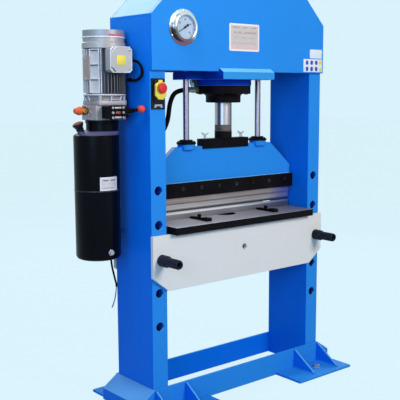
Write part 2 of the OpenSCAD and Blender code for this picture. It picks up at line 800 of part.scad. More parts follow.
module pack_bracket() color([0.22, 0.22, 0.23]) difference() {
  box(man_x1, -hw, pack_y - 20, pack_y + 50, man_z0 + 6, man_z1 - 2);
  for (y = [pack_y, pack_y + 30]) for (z = [man_z0 + 20, man_z1 - 16])
    rod_x(y, z, man_x1 - 1, -hw + 1, 5);
}

// cast pad for a foot that this upright motor doesn't use, with three recesses
module foot_pad() {
  cell_h = (motor_h - 8) / 3;
  difference() {
    box(motor_core_r - 8, motor_r - 2, -pad_w / 2, pad_w / 2, motor_z + 4, motor_z + motor_h - 4);
    for (i = [0:2])
      box(motor_r - 9, motor_r, -pad_w / 2 + 5, pad_w / 2 - 5, motor_z + 8 + i * cell_h,
        motor_z + i * cell_h + cell_h);
  }
}

module motor_housing() color(alloy) translate([pack_x, pack_y, 0]) difference() {
  fin_pitch = 360 / fin_count;
  pad_half = atan((pad_w / 2 + 3) / motor_core_r);
  union() {
    rod_z(0, 0, motor_z, motor_z + motor_h, motor_core_r);
    for (i = [0:fin_count - 1]) {
      a = -90 + (i + 0.5) * fin_pitch;
      // the fins under the terminal box are shorter
      fin_top = a > -50 && a < 230 ? motor_z + motor_h - 4 : box_z0 - 4;
      if (abs(a - pad_a) > pad_half)
        rotate([0, 0, a]) box(motor_core_r - 2, motor_r, -1.6, 1.6, motor_z + 4, fin_top);
    }
    rotate([0, 0, pad_a]) foot_pad();
    // flat pad for the terminal box
    box(-44, 44, box_y1 - pack_y, -motor_core_r * 0.8, box_z0 + 6, motor_z + motor_h - 2);
  }
  rod_z(0, 0, motor_z - 1, motor_z + motor_h + 1, motor_core_r - 7);
}

module motor_end_shields() color(alloy) translate([pack_x, pack_y, 0]) {
  // lugs of the screws that hold the shields together
  for (a = [45:90:315]) rotate([0, 0, a]) {
    rod_z(lug_r, 0, shield_z, motor_z - 2, 8);
    rod_z(lug_r, 0, motor_z + motor_h + 4, motor_z + motor_h + 24, 8);
  }
  rotate_extrude($fn = 64) polygon([
    [shaft_r + run_gap, shield_z], [66, shield_z], [66, shield_z + 10], [70, shield_z + 12],
    [motor_r - 12, motor_z - 12], [motor_r - 2, motor_z - 8], [motor_r - 2, motor_z],
    [motor_core_r - 10, motor_z], [motor_core_r - 10, motor_z - 10],
    [shaft_r + run_gap, motor_z - 10]
  ]);
  rotate_extrude($fn = 64) polygon([
    [shaft_r + run_gap, motor_z + motor_h + 12], [motor_core_r - 10, motor_z + motor_h + 12],
    [motor_core_r - 10, motor_z + motor_h], [motor_r + 2, motor_z + motor_h],
    [motor_r + 2, motor_z + motor_h + 22], [motor_r - 3, motor_z + motor_h + 26],
    [motor_r - 3, cowl_z], [motor_r - 16, cowl_z], [motor_r - 16, motor_z + motor_h + 26],
    [shaft_r + run_gap, motor_z + motor_h + 24]
  ]);
}

module fan_cowl() color(alloy) translate([pack_x, pack_y, 0]) difference() {
  rod_z(0, 0, cowl_z, cowl_z + cowl_h, motor_r - 2);
  rod_z(0, 0, cowl_z - 1, cowl_z + cowl_h - 3, motor_r - 5);
  // air inlet slots in the top
  for (a = [0:15:345]) rotate([0, 0, a])
    box(30, motor_r - 26, -2.4, 2.4, cowl_z + cowl_h - 4, cowl_z + cowl_h + 1);
}

// shaft with its core and the cooling fan
module motor_rotor() color([0.45, 0.46, 0.48]) translate([pack_x, pack_y, 0]) {
  rod_z(0, 0, man_z0 - 20, cowl_z + cowl_h - 12, shaft_r);
  rod_z(0, 0, motor_z + 24, motor_z + motor_h - 24, 44);
  rod_z(0, 0, cowl_z, cowl_z + 20, 26);
  for (a = [0:45:315]) rotate([0, 0, a]) box(20, motor_r - 24, -1.5, 1.5, cowl_z + 2, cowl_z + 22);
}

// square outline with cut corners
module cut_square(w, c) polygon([
  [-w / 2 + c, -w / 2], [w / 2 - c, -w / 2], [w / 2, -w / 2 + c], [w / 2, w / 2 - c],
  [w / 2 - c, w / 2], [-w / 2 + c, w / 2], [-w / 2, w / 2 - c], [-w / 2, -w / 2 + c]
]);

module terminal_box() color(alloy) difference() {
  translate([pack_x, 0, box_zc]) slab(box_y0 + lid_t, box_y1) cut_square(box_w - 4, 10);
  translate([pack_x, 0, box_zc])
    slab(box_y0 + lid_t - 1, box_y1 - 6) square([box_w - 16, box_w - 28], center = true);
  rod_x(gland_y, box_zc, box_x1 - 12, box_x1 + 1, 7);
}

module terminal_lid() color(alloy) translate([pack_x, 0, box_zc]) difference() {
  slab(box_y0, box_y0 + lid_t) cut_square(box_w, 12);
  for (sx = [-1, 1]) for (sz = [-1, 1])
    rod_y(sx * (box_w / 2 - 14), sz * (box_w / 2 - 14), box_y0 - 1, box_y0 + 4, 4);
}

// gear pump hanging in the tank's neck, with its suction pipe and strainer
module gear_pump() color([0.55, 0.56, 0.58]) {
  difference() {
    rod_z(pack_x, pack_y, man_z0 - 70, man_z0, 44);
    rod_z(pack_x, pack_y, man_z0 - 21, man_z0 + 1, shaft_r + run_gap);
  }
  rod_z(pack_x - 20, pack_y + 8, tank_bot_z + 60, man_z0 - 70, 9);
  rod_z(pack_x - 20, pack_y + 8, tank_bot_z + 30, tank_bot_z + 90, 26);
}

// ---- gauge, nameplate, switch ----

module gauge_case() color(chrome) translate([gauge_x, front_y, gauge_z]) rotate([90, 0, 0])
  difference() {
    rotate_extrude($fn = 96) polygon([
      [9, 0], [gauge_d / 2, 0], [gauge_d / 2, 3], [bezel_d / 2 - 3, 4.5],
      [bezel_d / 2 - 3, gauge_t - 14], [bezel_d / 2, gauge_t - 12], [bezel_d / 2, gauge_t - 3],
      [bezel_d / 2 - 4, gauge_t], [bezel_d / 2 - 10, gauge_t], [bezel_d / 2 - 12, gauge_t - 3],
      [bezel_d / 2 - 12, gauge_t - 5], [bezel_d / 2 - 6, gauge_t - 5], [bezel_d / 2 - 6, 8],
      [9, 8]
    ]);
    for (a = [90, 210, 330]) rotate([0, 0, a])
      translate([(gauge_d + bezel_d) / 4 + 1.5, 0, -1]) cylinder(h = 9, r = 2.4, $fn = 24);
    translate([0, 0, -1]) cylinder(h = 10, r = 9, $fn = 48);
  }

module gauge_dial() color([0.90, 0.92, 0.93])
  translate([gauge_x, front_y, gauge_z]) rotate([90, 0, 0]) {
    // stem through the crown plate, with the printed dial on its front
    difference() {
      translate([0, 0, 8]) cylinder(h = 2, r = bezel_d / 2 - 6.2, $fn = 96);
      translate([0, 0, 7]) cylinder(h = 4, r = 2 + run_gap, $fn = 32);
    }
    difference() {
      translate([0, 0, -plate_t - 12]) cylinder(h = plate_t + 20, r = 9, $fn = 48);
      translate([0, 0, 2]) cylinder(h = 8, r = 2 + run_gap, $fn = 32);
    }
  }

module gauge_needle() color([0.03, 0.03, 0.03])
  translate([gauge_x, front_y, gauge_z]) rotate([90, 0, 0]) {
    translate([0, 0, 4]) cylinder(h = 12, r = 2, $fn = 32);
    translate([0, 0, 13]) cylinder(h = 2.4, r = 5.5, $fn = 32);
    // angles run the same way as on the dial, seen from the front
    translate([0, 0, 13]) rotate([0, 0, needle_a]) linear_extrude(height = 1.6)
      polygon([[-17, -2.6], [0, -2.2], [43, -0.7], [43, 0.7], [0, 2.2], [-17, 2.6]]);
    translate([0, 0, 13]) rotate([0, 0, needle_a]) translate([-17, 0, 0])
      cylinder(h = 1.6, r = 6, $fn = 32);
  }

module gauge_glass() color([0.9, 0.95, 1, 0.3])
  translate([gauge_x, front_y, gauge_z]) rotate([90, 0, 0])
    translate([0, 0, gauge_t - 8]) cylinder(h = 3, r = bezel_d / 2 - 6, $fn = 96);

// plate with round corners on four rivets
module nameplate() color(steel) {
  x = plate_w / 2;
  z = plate_h / 2;
  difference() {
    union() {
      box(name_x - x + name_r, name_x + x - name_r, front_y - 1.2, front_y, name_z - z, name_z + z);
      box(name_x - x, name_x + x, front_y - 1.2, front_y, name_z - z + name_r, name_z + z - name_r);
      for (sx = [-1, 1]) for (sz = [-1, 1])
        rod_y(name_x + sx * (x - name_r), name_z + sz * (z - name_r), front_y - 1.2, front_y,
          name_r);
    }
    for (sx = [-1, 1]) for (sz = [-1, 1])
      rod_y(name_x + sx * (x - name_r), name_z + sz * (z - name_r), front_y - 2, front_y + 1, 2);
  }
  for (sx = [-1, 1]) for (sz = [-1, 1])
    rod_y(name_x + sx * (x - name_r), name_z + sz * (z - name_r), front_y - 2.4, front_y, 2);
}

module switch_box() color(black) difference() {
  union() {
    box(switch_x - sw_w / 2, switch_x + sw_w / 2, -hd - 6, -hd, switch_z - 76, switch_z + 56);
    box(switch_x - 27, switch_x + 27, -hd - 16, -hd - 6, switch_z - 44, switch_z + 46);
    // hinge lugs above the lid
    for (s = [-1, 1]) box(switch_x + s * 17 - 5, switch_x + s * 17 + 5, hinge_y - 4, -hd - 6,
      hinge_z - 4, hinge_z + 4);
    // contact block in the post
    rod_y(switch_x, switch_z, -hd, -hd + 34, 16);
  }
  rod_y(switch_x, button_z, -hd - 17, -hd - 6, 12);
  rod_x(hinge_y, hinge_z, switch_x - 40, switch_x + 40, 2 + run_gap);
}

module switch_lid() color([0.96, 0.80, 0.10]) {
  difference() {
    union() {
      box(switch_x - 28, switch_x + 28, lid_y - 6, lid_y + 4, switch_z - 45, hinge_z - 7);
      box(switch_x - 11, switch_x + 11, hinge_y - 3.4, hinge_y, hinge_z - 9, hinge_z);
      rod_x(hinge_y, hinge_z, switch_x - 11, switch_x + 11, 3.4);
    }
    rod_y(switch_x, button_z, lid_y - 7, lid_y + 5, 11 + slide_gap);
    rod_x(hinge_y, hinge_z, switch_x - 12, switch_x + 12, 1.9);
  }
  rod_x(hinge_y, hinge_z, switch_x - 22, switch_x + 22, 2);
}

module stop_button() color([0.84, 0.16, 0.12])
  translate([switch_x, lid_y - 6, button_z]) rotate([90, 0, 0]) rotate_extrude($fn = 64)
    polygon([
      [0, -10], [11, -10], [11, 5.6], [19, 5.6], [22.5, 8], [22.5, 12], [19, 15.5], [11, 17.2],
      [0, 17.5]
    ]);

// ---- hose, cables and cord ----

// glands of the terminal box, of the cable's way into the post and of the supply cord
module cable_glands() color(black) {
  rod_x(gland_y, box_zc, box_x1 - 10, box_x1 - 2, 7);
  rod_x(gland_y, box_zc, box_x1 - 2, box_x1 + 6, gland_r);
  for (g = [[cable_y, cable_z, 8], [cord_y, cord_z, 22]]) {
    rod_x(g[0], g[1], -hw - 6, -hw, gland_r);
    rod_x(g[0], g[1], -hw - g[2], -hw - 6, gland_r - 2);
    rod_x(g[0], g[1], -hw, -hw + post_wall + 2, 6);
  }
}

module motor_cable() color(black) tube(motor_cable_pts, 3, 6, 10);

module pressure_hose() color(black) {
  tube(hose_pts, 3, hose_d / 2, 12);
  // fittings at both ends
  rod_x(18, hose_out_z, man_x1 - 18, man_x1 + 6, 8);
  rod_x(port_y, port_z, port_x, port_x + 24, 8);
  translate([port_x - 14, port_y, port_z]) rotate([0, 90, 0]) cylinder(h = 14, r = 14, $fn = 6);
  rod_x(port_y, port_z, port_x - 36, port_x - 14, 9);
}

module supply_cord() color(black) tube(cord_pts, 3, 4, 8);

// ---- assembly ----

left_post();
right_post();
crown_plates();
crown_covers();
cylinder_mount_plate();
guide_bushes();
base_rails();
foot_plates();
anchor_bolts();
table_side_plates();
table_spacers();
die_plate();
v_die();
left_table_pin();
right_table_pin();
left_gauge_stop();
right_gauge_stop();
cylinder_barrel();
cylinder_head();
flange_bolts();
ram_rod();
ram_head();
ram_flange();
left_wing_screw();
right_wing_screw();
press_beam();
guide_rods();
guide_rod_collars();
punch_holder();
punch_clamp_bar();
clamp_bolts();
punch();
tank_shell();
drain_plug();
filler_cap();
manifold_block();
relief_valve();
relief_knob();
valve_body();
valve_lever();
pack_bracket();
motor_housing();
motor_end_shields();
fan_cowl();
motor_rotor();
terminal_box();
terminal_lid();
gear_pump();
switch_box();
switch_lid();
stop_button();
gauge_case();
gauge_dial();
gauge_needle();
gauge_glass();
nameplate();
cable_glands();
motor_cable();
pressure_hose();
supply_cord();
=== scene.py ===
"""Looks of a workshop hydraulic press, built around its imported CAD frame.

The CAD nodes keep their shapes and are shown as merged copies, most of them with rounded
edges. The small things that a CAD model leaves out (welds, screws, fittings, dial marks, cords
and plates) are surfaces worked out with numpy. Sub-assemblies and the tools for their shapes
count in millimetres, finishes and the studio in metres.
"""

import json
import logging
import math
from collections.abc import Callable, Iterable
from dataclasses import dataclass
from enum import Enum
from typing import ClassVar

import bmesh
import bpy
import numpy as np
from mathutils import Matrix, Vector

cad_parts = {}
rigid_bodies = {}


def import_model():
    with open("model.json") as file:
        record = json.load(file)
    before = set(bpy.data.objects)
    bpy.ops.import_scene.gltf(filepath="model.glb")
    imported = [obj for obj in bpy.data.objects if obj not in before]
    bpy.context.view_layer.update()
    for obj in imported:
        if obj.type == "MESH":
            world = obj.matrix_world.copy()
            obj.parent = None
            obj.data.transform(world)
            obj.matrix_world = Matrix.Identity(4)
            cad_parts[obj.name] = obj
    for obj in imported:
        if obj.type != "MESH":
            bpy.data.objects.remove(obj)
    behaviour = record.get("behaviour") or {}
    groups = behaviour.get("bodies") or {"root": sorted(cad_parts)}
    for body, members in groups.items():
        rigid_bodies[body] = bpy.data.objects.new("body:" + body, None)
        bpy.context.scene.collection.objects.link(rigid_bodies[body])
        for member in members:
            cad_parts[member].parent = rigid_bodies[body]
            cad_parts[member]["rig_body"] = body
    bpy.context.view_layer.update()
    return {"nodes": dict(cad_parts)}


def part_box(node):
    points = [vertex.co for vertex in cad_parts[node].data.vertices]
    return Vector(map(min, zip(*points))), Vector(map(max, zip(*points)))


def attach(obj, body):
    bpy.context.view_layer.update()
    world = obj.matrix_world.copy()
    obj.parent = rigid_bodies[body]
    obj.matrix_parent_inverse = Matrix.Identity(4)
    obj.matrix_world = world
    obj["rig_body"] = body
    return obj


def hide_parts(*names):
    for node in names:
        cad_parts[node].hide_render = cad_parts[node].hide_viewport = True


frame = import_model()

LOG = logging.getLogger("press")
MM = 0.001
UP, FRONT, RIGHT = (0, 0, 1), (0, -1, 0), (1, 0, 0)
SIDES = (-1, 1)

# Doubles nearer than this are merged, in metres: in new pieces and in copies of CAD nodes.
MERGE, SKIN_MERGE = 1e-6, 2e-6

# Angles between a copy's faces, in degrees: joined below, kept sharp above, rounded above.
SKIN_FLAT, SKIN_SHARP, SKIN_EDGE = 0.6, 28.0, 32.0

Skin = tuple[np.ndarray, list]


class Slot(Enum):
    """The record's material slots."""

    BLUE = "blue_paint"
    GREY = "grey_paint"
    BLACK = "black_paint"
    OXIDE = "black_oxide"
    STEEL = "machined_steel"
    DIE = "die_steel"
    CHROME = "chrome"
    ALLOY = "cast_aluminium"
    BRASS = "brass"
    PLASTIC = "black_plastic"
    ORANGE = "orange_plastic"
    YELLOW = "yellow_plastic"
    RED = "red_plastic"
    DIAL = "dial_white"
    GLASS = "glass"
    PLATE = "plate_aluminium"
    RUBBER = "rubber"


class Axis(Enum):
    """The axis that an outline is drawn out along, or that a circle stands square to."""

    Y = 1
    Z = 2


# ---- numpy surfaces ----


def unit(v: np.ndarray) -> np.ndarray:
    """Vectors scaled to length 1, along the last axis."""
    return v / np.maximum(np.linalg.norm(v, axis=-1, keepdims=True), 1e-12)


def skin_of(rings: np.ndarray) -> Skin:
    """Joins rings of points into a closed skin.

    Point j of ring i is tied to point j + 1 of its ring and to both on ring i + 1, and a flat
    face closes each end.

    Args:
        rings: Points of shape (rings, points round, 3).

    Returns:
        The points and the faces.
    """
    n, m = rings.shape[:2]
    base, j = np.arange(n - 1)[:, None] * m, np.arange(m)[None, :]
    k = (j + 1) % m
    quads = np.stack([base + j, base + k, base + m + k, base + m + j], -1).reshape(-1, 4)
    ends = [list(range(m))[::-1], list(range((n - 1) * m, n * m))]
    return rings.reshape(-1, 3), quads.tolist() + ends


def basis(axis: Iterable) -> tuple[np.ndarray, np.ndarray, np.ndarray]:
    """A right-handed frame on an axis.

    Args:
        axis: Any direction.

    Returns:
        Two directions square to it, and its own.
    """
    w = unit(np.asarray(axis, float))
    u = unit(np.cross(UP if abs(w[2]) < 0.9 else RIGHT, w))
    return u, np.cross(w, u), w


def circle(count: int, u: np.ndarray, v: np.ndarray) -> np.ndarray:
    """Directions round a circle: cos a * u + sin a * v at count even angles."""
    a = np.arange(count) * 2 * np.pi / count
    return np.cos(a)[:, None] * u + np.sin(a)[:, None] * v


def revolve(profile: Iterable, origin: Iterable, axis: Iterable, count: int) -> Skin:
    """A turned shape: each (radius, height) becomes a circle of that radius at that height.

    Point = origin + height * axis + radius * (cos a * u + sin a * v).

    Args:
        profile: (radius, height) pairs from one end to the other.
        origin: Where height 0 lies.
        axis: Direction of the heights.
        count: Points round.

    Returns:
        The points and the faces.
    """
    u, v, w = basis(axis)
    r, h = np.array(profile, float).T[:, :, None, None]
    return skin_of(np.asarray(origin, float) + h * w + np.maximum(r, 0.02) * circle(count, u, v))


def prism(outline: Iterable, low: float, high: float, soft: float, axis: Axis = Axis.Y) -> Skin:
    """An outline drawn out along an axis, with both rims rounded.

    Each ring is the outline with its corners moved in along their mitres: by soft at the ends,
    by a third of it next to them, and not at all between.

    Args:
        outline: Anticlockwise points in the two other axes, in X, Y, Z order.
        low: Where it starts.
        high: Where it ends.
        soft: Radius of the rims.
        axis: The axis that it runs along.

    Returns:
        The points and the faces.
    """
    line = np.asarray(outline, float)
    ahead, behind = unit(np.roll(line, -1, 0) - line), unit(line - np.roll(line, 1, 0))
    n1, n0 = (np.stack([-d[:, 1], d[:, 0]], 1) for d in (ahead, behind))
    mitre = (n0 + n1) / np.maximum(1 + (n0 * n1).sum(1, keepdims=True), 0.3)
    near = 0.3 * soft
    steps = ((soft, low), (near, low + near), (0.0, low + soft),
             (0.0, high - soft), (near, high - near), (soft, high))
    rings = [np.insert(line + move * mitre, axis.value, at, axis=1) for move, at in steps]
    return skin_of(np.array(rings))


def block(sides: tuple, r: float, low: float, high: float, soft: float,
          axis: Axis = Axis.Y) -> Skin:
    """A rectangle drawn out as a prism, each corner's points at its centre + r (cos a, sin a).

    Args:
        sides: Its limits (a0, a1, b0, b1) in the two other axes.
        r: Radius of its corners.
        low: Where it starts.
        high: Where it ends.
        soft: Radius of the rims.
        axis: The axis that it runs along.

    Returns:
        The points and the faces.
    """
    a0, a1, b0, b1 = sides
    centres = np.array([(a1 - r, b1 - r), (a0 + r, b1 - r), (a0 + r, b0 + r), (a1 - r, b0 + r)])
    a = np.linspace(0, np.pi / 2, 5) + np.arange(4)[:, None] * np.pi / 2
    line = centres[:, None] + r * np.stack([np.cos(a), np.sin(a)], -1)
    return prism(line.reshape(-1, 2), low, high, soft, axis)


def smooth_line(points: Iterable, per: int) -> np.ndarray:
    """A Catmull-Rom line through points.

    Args:
        points: The points.
        per: Steps in each span.

    Returns:
        The line's points.
    """
    p = np.array(points, float)
    q = np.concatenate([p[:1], p, p[-1:]])
    t = (np.arange(per) / per)[None, :, None]
    a, b, c, d = (q[i:len(q) - 3 + i][:, None] for i in range(4))
    line = 0.5 * (2 * b + (c - a) * t + (2 * a - 5 * b + 4 * c - d) * t ** 2
                  + (3 * b - a - 3 * c + d) * t ** 3)
    return np.concatenate([line.reshape(-1, 3), p[-1:]])


def resample(path: np.ndarray, spacing: float) -> np.ndarray:
    """The same line with points at even steps of its length.

    Args:
        path: (n, 3) points.
        spacing: The distance wanted between them.

    Returns:
        The new points.
    """
    s = np.concatenate([[0], np.cumsum(np.linalg.norm(np.diff(path, axis=0), axis=1))])
    at = np.linspace(0, s[-1], max(2, int(round(s[-1] / spacing)) + 1))
    return np.stack([np.interp(at, s, path[:, i]) for i in range(3)], 1)


def sweep(path: Iterable, radius: np.ndarray | float, sides: int, flat: float = 1.0) -> Skin:
    """A round section carried along a path.

    Each ring stands square to the path. Its first direction is the last ring's, with what lies
    along the new direction taken out, so that the section never twists.

    Args:
        path: (n, 3) points.
        radius: One radius, or one for each point.
        sides: Points round.
        flat: Height of the section over its width.

    Returns:
        The points and the faces.
    """
    path = np.asarray(path, float)
    step = np.gradient(path, axis=0)
    step[0], step[-1] = path[1] - path[0], path[-1] - path[-2]
    t = unit(step)
    u = np.zeros_like(t)
    u[0] = basis(t[0])[0]
    for i in range(1, len(t)):
        u[i] = unit(u[i - 1] - (u[i - 1] @ t[i]) * t[i])
    r = np.broadcast_to(np.asarray(radius, float), (len(path),))[:, None, None]
    return skin_of(path[:, None] + r * circle(sides, u[:, None], flat * np.cross(t, u)[:, None]))


def bead(start: tuple, end: tuple, size: float, ripple: float = 6.0) -> Skin:
    """A straight weld bead.

    Radius = size * (1 + 0.1 * sin(2 pi s / ripple)) at distance s, less at both ends.

    Args:
        start: Where it starts.
        end: Where it ends.
        size: Its radius.
        ripple: Length of a ripple.

    Returns:
        The points and the faces.
    """
    pace = 2.2
    path = resample(np.array([start, end], float), pace)
    s = np.arange(len(path)) * pace
    taper = np.clip(np.minimum(s, s[::-1]) / 6.0, 0.35, 1)
    return sweep(path, size * taper * (1 + 0.1 * np.sin(2 * np.pi * s / ripple)), 8)


def hexagon(origin: tuple, axis: tuple, flats: float, height: float) -> Skin:
    """A nut or bolt head: radius flats / 2 / cos a between corners, the top cut by a cone.

    Args:
        origin: The middle of its foot.
        axis: Direction of its height.
        flats: Width over the flats.
        height: Its height.

    Returns:
        The points and the faces.
    """
    u, v, w = basis(axis)
    a = np.arange(36) * 2 * np.pi / 36
    six = flats / 2 / np.cos((a % (np.pi / 3)) - np.pi / 6)
    top = np.minimum(six, flats / 2 * 1.02) * 0.93
    rows = ((0.0, six * 0.97), (0.0, six), (0.88 * height, six), (height, top))
    return skin_of(np.array([np.array(origin, float) + h * w + r[:, None] * circle(36, u, v)
                             for h, r in rows]))


def rod(middle: Iterable, half: Iterable, radius: np.ndarray | float, sides: int) -> Skin:
    """A short straight bar, swept from middle - half over the middle to middle + half.

    Args:
        middle: Its middle.
        half: From the middle to its end.
        radius: One radius, or three.
        sides: Points round.

    Returns:
        The points and the faces.
    """
    return sweep(np.asarray(middle) + np.outer((-1, 0, 1), half), radius, sides)


def around(centre: Iterable, radius: float, degrees: Iterable, axis: Axis = Axis.Z) -> np.ndarray:
    """Points round a circle: centre + radius * (cos a, sin a) in the plane square to the axis.

    Args:
        centre: The circle's middle.
        radius: Its radius.
        degrees: The angles.
        axis: The axis that it stands square to.

    Returns:
        The points.
    """
    a = np.radians(np.array(list(degrees), float))
    flat = radius * np.stack([np.cos(a), np.sin(a)], 1)
    return np.asarray(centre, float) + np.insert(flat, axis.value, 0.0, axis=1)


def bent(centre: tuple, radii: tuple, angles: np.ndarray, heights: np.ndarray) -> Skin:
    """A thin closed plate bent round an upright axis.

    Point = (x + r cos a, y + r sin a, height), on an inner and an outer grid tied at the edges.

    Args:
        centre: X and Y of the axis.
        radii: Inner and outer radius.
        angles: Angles of the grid's columns, in degrees.
        heights: Heights of its rows.

    Returns:
        The points and the faces.
    """
    a = np.radians(angles)
    grid = np.zeros((2, len(heights), len(a), 3))
    for face, r in zip(grid, radii):
        face[..., 0], face[..., 1] = centre[0] + r * np.cos(a), centre[1] + r * np.sin(a)
        face[..., 2] = np.asarray(heights)[:, None]
    i = np.arange(grid[..., 0].size).reshape(grid.shape[:3])
    quads = np.stack([i[:, :-1, :-1], i[:, :-1, 1:], i[:, 1:, 1:], i[:, 1:, :-1]], -1)
    edge = np.concatenate([i[:, 0, :-1], i[:, :-1, -1], i[:, -1, :0:-1], i[:, :0:-1, 0]], 1)
    ahead = np.roll(edge, -1, 1)
    wall = np.stack([edge[0], ahead[0], ahead[1], edge[1]], -1)
    return grid.reshape(-1, 3), quads.reshape(-1, 4).tolist() + wall.tolist()


# ---- pieces ----


def placed(name: str, data: bpy.types.ID) -> bpy.types.Object:
    """A new object in the scene.

    Args:
        name: Its name.
        data: Its mesh, curve, lamp or camera.

    Returns:
        The object.
    """
    made = bpy.data.objects.new(name, data)
    bpy.context.scene.collection.objects.link(made)
    return made


@dataclass
class Piece:
    """A finished mesh in the frame's place: it rides on a body and may stand for CAD nodes."""

    name: str
    slot: Slot
    material: bpy.types.Material
    body: str = "frame"
    stands_for: tuple = ()
    sharp: float = 40.0

    def make(self, parts: list) -> bpy.types.Object:
        """Builds the object from closed parts.

        Args:
            parts: (points, faces) pairs in millimetres.

        Returns:
            The object, riding on its body.
        """
        faces, start = [], 0
        for points, own in parts:
            faces += [[i + start for i in face] for face in own]
            start += len(points)
        mesh = bpy.data.meshes.new(self.name)
        mesh.from_pydata((np.concatenate([p for p, _ in parts]) * MM).tolist(), [], faces)
        work = bmesh.new()
        work.from_mesh(mesh)
        bmesh.ops.remove_doubles(work, verts=work.verts, dist=MERGE)
        bmesh.ops.recalc_face_normals(work, faces=work.faces)
        work.to_mesh(mesh)
        work.free()
        return self.dress(mesh)

    def dress(self, mesh: bpy.types.Mesh) -> bpy.types.Object:
        """Gives a finished mesh its shading, material and place in the frame.

        Args:
            mesh: The mesh, in metres.

        Returns:
            The object, riding on its body.
        """
        mesh.shade_smooth()
        mesh.set_sharp_from_angle(angle=math.radians(self.sharp))
        mesh.materials.clear()
        mesh.materials.append(self.material)
        made = placed(self.name, mesh)
        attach(made, self.body)
        if self.stands_for:
            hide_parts(*self.stands_for)
        LOG.info("%s: %d faces on %s", self.name, len(mesh.polygons), self.body)
        return made


def mark_paint(mesh: bpy.types.Mesh, under: float) -> None:
    """Marks a painted skin's faces for its coat.

    A face turned along X gets painted shade, and so does one turned to the front that lies further
    back than under. A face that leans back and looks up gets a painted highlight, as of light from
    above.

    Args:
        mesh: The skin.
        under: How far back, in metres, a front face gets painted shade; 0 leaves them all.
    """
    normal, centre = (np.zeros(len(mesh.polygons) * 3) for _ in range(2))
    mesh.polygons.foreach_get("normal", normal)
    mesh.polygons.foreach_get("center", centre)
    n, y = normal.reshape(-1, 3), centre[1::3]
    sideways, forwards, leaning, level = 0.8, -0.3, 0.3, 0.97
    # Faces for painted shade: turned along X, or turned to the front and lying further back than
    # under.
    flank = (np.abs(n[:, 0]) > sideways) | ((n[:, 1] < forwards) & (y > under) & (under != 0.0))
    # Faces for a painted highlight, as of light from above: leaning back and looking up.
    shelf = (n[:, 2] > leaning) & (n[:, 2] < level)
    for name, value in (("flank", flank), ("shelf", shelf)):
        mesh.attributes.new(name, "FLOAT", "FACE").data.foreach_set("value", value.astype(float))


@dataclass(frozen=True)
class Coat:
    """How CAD nodes are shown: merged copies with a finish and rounded edges.

    The rounding's width is in millimetres, and 0 leaves edges and faces as they are. The value
    of under is what mark_paint takes: how far back a front face gets painted shade.
    """

    nodes: tuple
    slot: Slot
    finish: str
    width: float
    segments: int = 2
    under: float = 0.0

    def merged(self, node: str) -> bpy.types.Mesh:
        """A copy of a CAD node's mesh with its doubles merged, and its flat faces joined if it is
        rounded.

        Args:
            node: The CAD node.

        Returns:
            The copy.
        """
        mesh = frame["nodes"][node].data.copy()
        mesh.name = f"{node}_skin"
        work = bmesh.new()
        work.from_mesh(mesh)
        bmesh.ops.remove_doubles(work, verts=work.verts, dist=SKIN_MERGE)
        if self.width > 0:
            bmesh.ops.dissolve_limit(work, angle_limit=math.radians(SKIN_FLAT), verts=work.verts,
                                     edges=work.edges, delimit=set())
        work.to_mesh(mesh)
        work.free()
        for name in ("custom_normal", "sharp_edge", "sharp_face"):
            if name in mesh.attributes:
                mesh.attributes.remove(mesh.attributes[name])
        mark_paint(mesh, self.under)
        return mesh

    def lay(self, material: bpy.types.Material) -> None:
        """Shows every node as a copy that stands for it.

        Args:
            material: The finish.
        """
        for node in self.nodes:
            made = Piece(f"{node}_skin", self.slot, material, frame["nodes"][node]["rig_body"],
                         (node,), SKIN_SHARP).dress(self.merged(node))
            if self.width > 0:
                mod = made.modifiers.new("rounding", "BEVEL")
                mod.width, mod.segments = self.width * MM, self.segments
                mod.limit_method, mod.angle_limit = "ANGLE", math.radians(SKIN_EDGE)
                mod.use_clamp_overlap, mod.harden_normals = False, True
                mod.miter_outer = "MITER_ARC"


# ---- shaders ----


def operator(operation: str, swapped: bool = False) -> Callable:
    """Makes a method that adds one Math node.

    Args:
        operation: The node's operation.
        swapped: Whether the other value comes first.

    Returns:
        The method.
    """
    def method(value: "Value", other: object = 0.0) -> "Value":
        """Adds the node on a value and another one."""
        a, b = (other, value) if swapped else (value, other)
        return value.graph.add("ShaderNodeMath", {"operation": operation}, {0: a, 1: b})["Value"]
    return method


class Value:
    """An output socket that takes arithmetic: each operator adds one Math node."""

    __add__ = __radd__ = operator("ADD")
    __sub__, __rsub__ = operator("SUBTRACT"), operator("SUBTRACT", True)
    __mul__ = __rmul__ = operator("MULTIPLY")
    __truediv__ = operator("DIVIDE")
    __gt__, __lt__ = operator("GREATER_THAN"), operator("LESS_THAN")
    __abs__, fract = operator("ABSOLUTE"), operator("FRACT")
    power, least, most = operator("POWER"), operator("MINIMUM"), operator("MAXIMUM")

    def __init__(self, graph: "Graph", socket: bpy.types.NodeSocket) -> None:
        """Keeps the graph and the socket."""
        self.graph, self.socket = graph, socket

    def clamp(self) -> "Value":
        """Held between 0 and 1."""
        return self.most(0.0).least(1.0)

    def ramp(self, low: float, high: float) -> "Value":
        """0 at low and below, 1 at high and above, straight between."""
        return ((self - low) * (1.0 / (high - low))).clamp()


